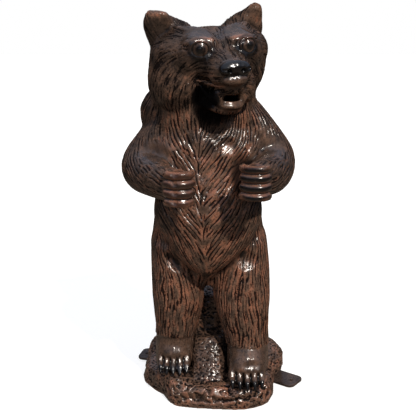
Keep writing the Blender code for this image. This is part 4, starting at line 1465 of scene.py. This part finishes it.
@dataclass(frozen=True)
class Patina:
    """Cast aluminium under a rubbed brown patina and a clear lacquer.

    Sand cast and carved in the pattern, then brushed black, wiped back to brown and rust on
    the ridges and lacquered: the eye sees black strokes, warm ridges and hard wet highlights.
    The finish map's red is the groove, its green the black left on and the painted shade, its
    blue the tone and its alpha how rough the casting is left. The matt map says where the
    lacquer is gone.
    """

    name: str
    rust: str = "8a5d48"
    brown: str = "5e483b"
    olive: str = "362b24"
    black: str = "0c0a0a"
    roughness: float = 0.70
    mottle: float = 0.65
    grain_height: float = 0.0016

    def make(self) -> bpy.types.Material:
        """Returns the material."""
        made, tree, shader = new_material(self.name)
        finish = add_node(tree, "Attribute", {}, attribute_name="finish_map")
        soot = add_node(tree, "Attribute", {}, attribute_name="matt_map").outputs["Fac"]
        maps = add_node(tree, "SeparateColor", {"Color": finish.outputs["Color"]}).outputs
        # Cloudy wiping, in bumps of about 40 mm.
        cloud = noise(tree, 25.0, 4.0, 0.6)
        # Casting grain and brush marks of about 5 mm, drawn coarser than real ones so they show.
        grain = noise(tree, 200.0, 3.0, 0.65)
        # Specks of black left by the brush, of about 6 mm.
        patch = noise(tree, 165.0, 2.0, 0.7)
        tone = maths(tree, "ADD", maps["Blue"], spread(tree, cloud, 0.3, 0.7, -0.30, 0.30))
        warm = add_node(tree, "ValToRGB", {0: tone})
        stops = warm.color_ramp.elements
        stops.new(0.5)
        for stop, code in zip(stops, (self.olive, self.brown, self.rust)):
            stop.color = linear(code)
        cut = maths(tree, "ADD", maps["Red"], spread(tree, grain, 0.3, 0.7, -0.24, 0.24))
        dark = spread(tree, cut, 0.14, 0.58, 0.0, 0.97)
        spots = spread(tree, patch, 0.50, 0.66, 0.0, self.mottle)
        ink = maths(tree, "MAXIMUM", maths(tree, "MAXIMUM", dark, maps["Green"]), spots)
        colour = add_node(
            tree, "Mix", {0: ink, 6: warm.outputs[0], 7: linear(self.black)}, data_type="RGBA"
        )
        # The lacquer lies over the ridges and leaves the deep grooves and hollows dull. Under it
        # the patina has no gloss of its own.
        dull = maths(tree, "MAXIMUM", maths(tree, "MULTIPLY", dark, 0.85), soot)
        surface = {
            "Base Color": colour.outputs[2],
            "Coat Weight": maths(tree, "SUBTRACT", 1.0, dull),
            "Roughness": spread(tree, dull, 0.0, 1.0, self.roughness, 0.85),
            "Metallic": 0.1,
            "Specular IOR Level": 0.02,
            "Coat Roughness": 0.23,
        }
        for share, socket in ((0.55, "Normal"), (0.16, "Coat Normal")):
            strength = maths(tree, "MULTIPLY", finish.outputs["Alpha"], share)
            surface[socket] = bumped(tree, grain, self.grain_height, strength)
        plug(tree, shader, surface)
        return made


@dataclass(frozen=True)
class FloorPaper:
    """Seamless studio paper, matt, on which the eye sees nothing but a soft shadow."""

    name: str = "studio_paper"
    tone: str = "a8a6a2"
    glow: float = 0.68

    def make(self) -> bpy.types.Material:
        """Returns the material, which glows so that the shadow on it stays faint."""
        made, tree, shader = new_material(self.name)
        fibre = noise(tree, 60.0, 2.0)
        surface = {
            "Normal": bumped(tree, fibre, 0.001, 0.05),
            "Base Color": linear(self.tone),
            "Roughness": 0.9,
            "Emission Color": linear("ffffff"),
            "Emission Strength": self.glow,
        }
        plug(tree, shader, surface)
        return made


class Lamp(Enum):
    """The lights of the studio: the sun, two weak fills, and the soft dome over it all."""

    SUN = "sun"
    FILL = "fill"
    BACK = "back"
    DOME = "dome"


@dataclass
class Studio:
    """The floor, the lights and the camera.

    Attributes:
        look_down: How far the camera looks down, in degrees.
        long_side: The photograph's side, in pixels.
        focal_pixels: The focal length, in pixels.
        sun_turn: The sun lamp's turn about X, Y and Z, in degrees.
        sun_strength: How strong it is.
        fills: The two fill lamps: the way to each, and how strong it is.
        dome_strength: How bright the dome is.
        dome: The dome's tone at each height, from straight down at -1 to straight up at 1.
    """

    look_down: float = 14.9
    long_side: float = 416.0
    focal_pixels: float = 774.0
    sun_turn: Triple = (42.0, 18.0, 10.0)
    sun_strength: float = 3.9
    fills: tuple[tuple[Lamp, Triple, float], ...] = (
        (Lamp.FILL, (-0.45, -0.75, 0.40), 0.85),
        (Lamp.BACK, (-0.25, 0.80, 0.55), 1.7),
    )
    dome_strength: float = 1.15
    dome: tuple[tuple[float, str], ...] = (
        (-1.0, "8a7c6e"),
        (-0.35, "6f645a"),
        (-0.05, "38332f"),
        (0.05, "303236"),
        (0.25, "40454e"),
        (0.50, "7e8ba3"),
        (1.0, "c4cfe4"),
    )

    def build(self) -> None:
        """Sets the studio up."""
        bpy.context.scene.view_settings.view_transform = "Standard"
        self.floor()
        self.sky()
        self.sun()
        self.fill()
        self.camera()

    def floor(self) -> None:
        """Lays the floor. The dome's lower half gives the light that a sunlit floor throws up."""
        bpy.ops.object.select_all(action="DESELECT")
        bpy.ops.mesh.primitive_plane_add(size=40, location=(0, 0, -0.0005))
        paper = bpy.context.active_object
        paper.name = "floor"
        bpy.ops.object.transform_apply(location=True, rotation=True, scale=True)
        paper.data.materials.append(FloorPaper().make())
        paper.visible_diffuse = False
        paper.visible_glossy = False
        paper.visible_shadow = False

    def sky(self) -> None:
        """Hangs the dome: pale and cool overhead, dark at the horizon, warm and dim below.

        The top faces shine pale blue under it and the upright ones stay deep. The camera sees
        plain pale paper in its place.
        """
        room = bpy.data.worlds.new(Lamp.DOME.value)
        room.use_nodes = True
        tree = room.node_tree
        light = tree.nodes["Background"]
        light.inputs["Strength"].default_value = self.dome_strength
        way = add_node(tree, "TexCoord", {}).outputs["Generated"]
        height = add_node(tree, "SeparateXYZ", {0: way}).outputs["Z"]
        tones = add_node(tree, "ValToRGB", {0: spread(tree, height, -1.0, 1.0, 0.0, 1.0)})
        for k, (high, tone) in enumerate(self.dome):
            spot = (high + 1) / 2
            stops = tones.color_ramp.elements
            stop = stops[0] if k == 0 else stops[-1] if high == 1.0 else stops.new(spot)
            stop.position = spot
            stop.color = linear(tone)
        tree.links.new(tones.outputs[0], light.inputs["Color"])
        paper = add_node(tree, "Background", {"Color": linear("ffffff"), "Strength": 1.0})
        seen = add_node(tree, "LightPath", {}).outputs["Is Camera Ray"]
        both = add_node(tree, "MixShader", {0: seen, 1: light.outputs[0], 2: paper.outputs[0]})
        tree.links.new(both.outputs[0], tree.nodes["World Output"].inputs["Surface"])
        bpy.context.scene.world = room

    def hang(
        self, lamp: Lamp, strength: float, soft: float, place: Vector, turn: Euler
    ) -> bpy.types.Object:
        """Hangs a sun lamp, softened by some degrees, and returns it."""
        data = bpy.data.lights.new(lamp.value, "SUN")
        data.energy = strength
        data.angle = math.radians(soft)
        obj = bpy.data.objects.new(lamp.value, data)
        obj.location = place
        obj.rotation_euler = turn
        bpy.context.scene.collection.objects.link(obj)
        return obj

    def fill(self) -> None:
        """Hangs the broad fill lamps at the front left and behind, which throw no glints."""
        for lamp, way, strength in self.fills:
            turn = Vector(way).to_track_quat("Z", "Y").to_euler()
            self.hang(lamp, strength, 40, Vector(way) * 3, turn).visible_glossy = False

    def sun(self) -> None:
        """Hangs the sun lamp high at the front right, a little softened."""
        turn = Euler([math.radians(angle) for angle in self.sun_turn])
        lamp = self.hang(Lamp.SUN, self.sun_strength, 2.5, Vector((1.0, -2.0, 3.0)), turn)
        lamp.data.color = linear("fff5ea")[:3]

    def camera(self) -> None:
        """Sets the camera where the photograph was taken from."""
        data = bpy.data.cameras.new("camera")
        data.sensor_width = 36.0
        data.lens = self.focal_pixels / self.long_side * data.sensor_width
        obj = bpy.data.objects.new("camera", data)
        obj.location = CAMERA_PLACE
        obj.rotation_euler = (math.radians(90 - self.look_down), 0, 0)
        bpy.context.scene.collection.objects.link(obj)
        bpy.context.scene.camera = obj


def main() -> None:
    """Builds the bear, the rock, the lugs and the studio."""
    logging.basicConfig(level=logging.INFO, format="%(message)s")
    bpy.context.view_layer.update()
    low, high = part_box("bear_figure")
    grid = Grid(soles=low[2], square=(high[2] - low[2]) / FIGURE_SQUARES)
    for piece, name in (
        (Bear(grid).build(), "bear_cast_patina"),
        (Rock().build(), "rock_cast_patina"),
    ):
        piece.data.materials.clear()
        piece.data.materials.append(Patina(name).make())
    lug_paint = Patina("lug_cast_patina", rust="5e483c", brown="40352f").make()
    for lug in (
        Lug("bolt_lug_right", (0.2491, 0.0390), -36),
        Lug("bolt_lug_left", (-0.15794, 0.1930), 165),
    ):
        lug.build().data.materials.append(lug_paint)
    Studio().build()


if __name__ == "__main__":
    main()
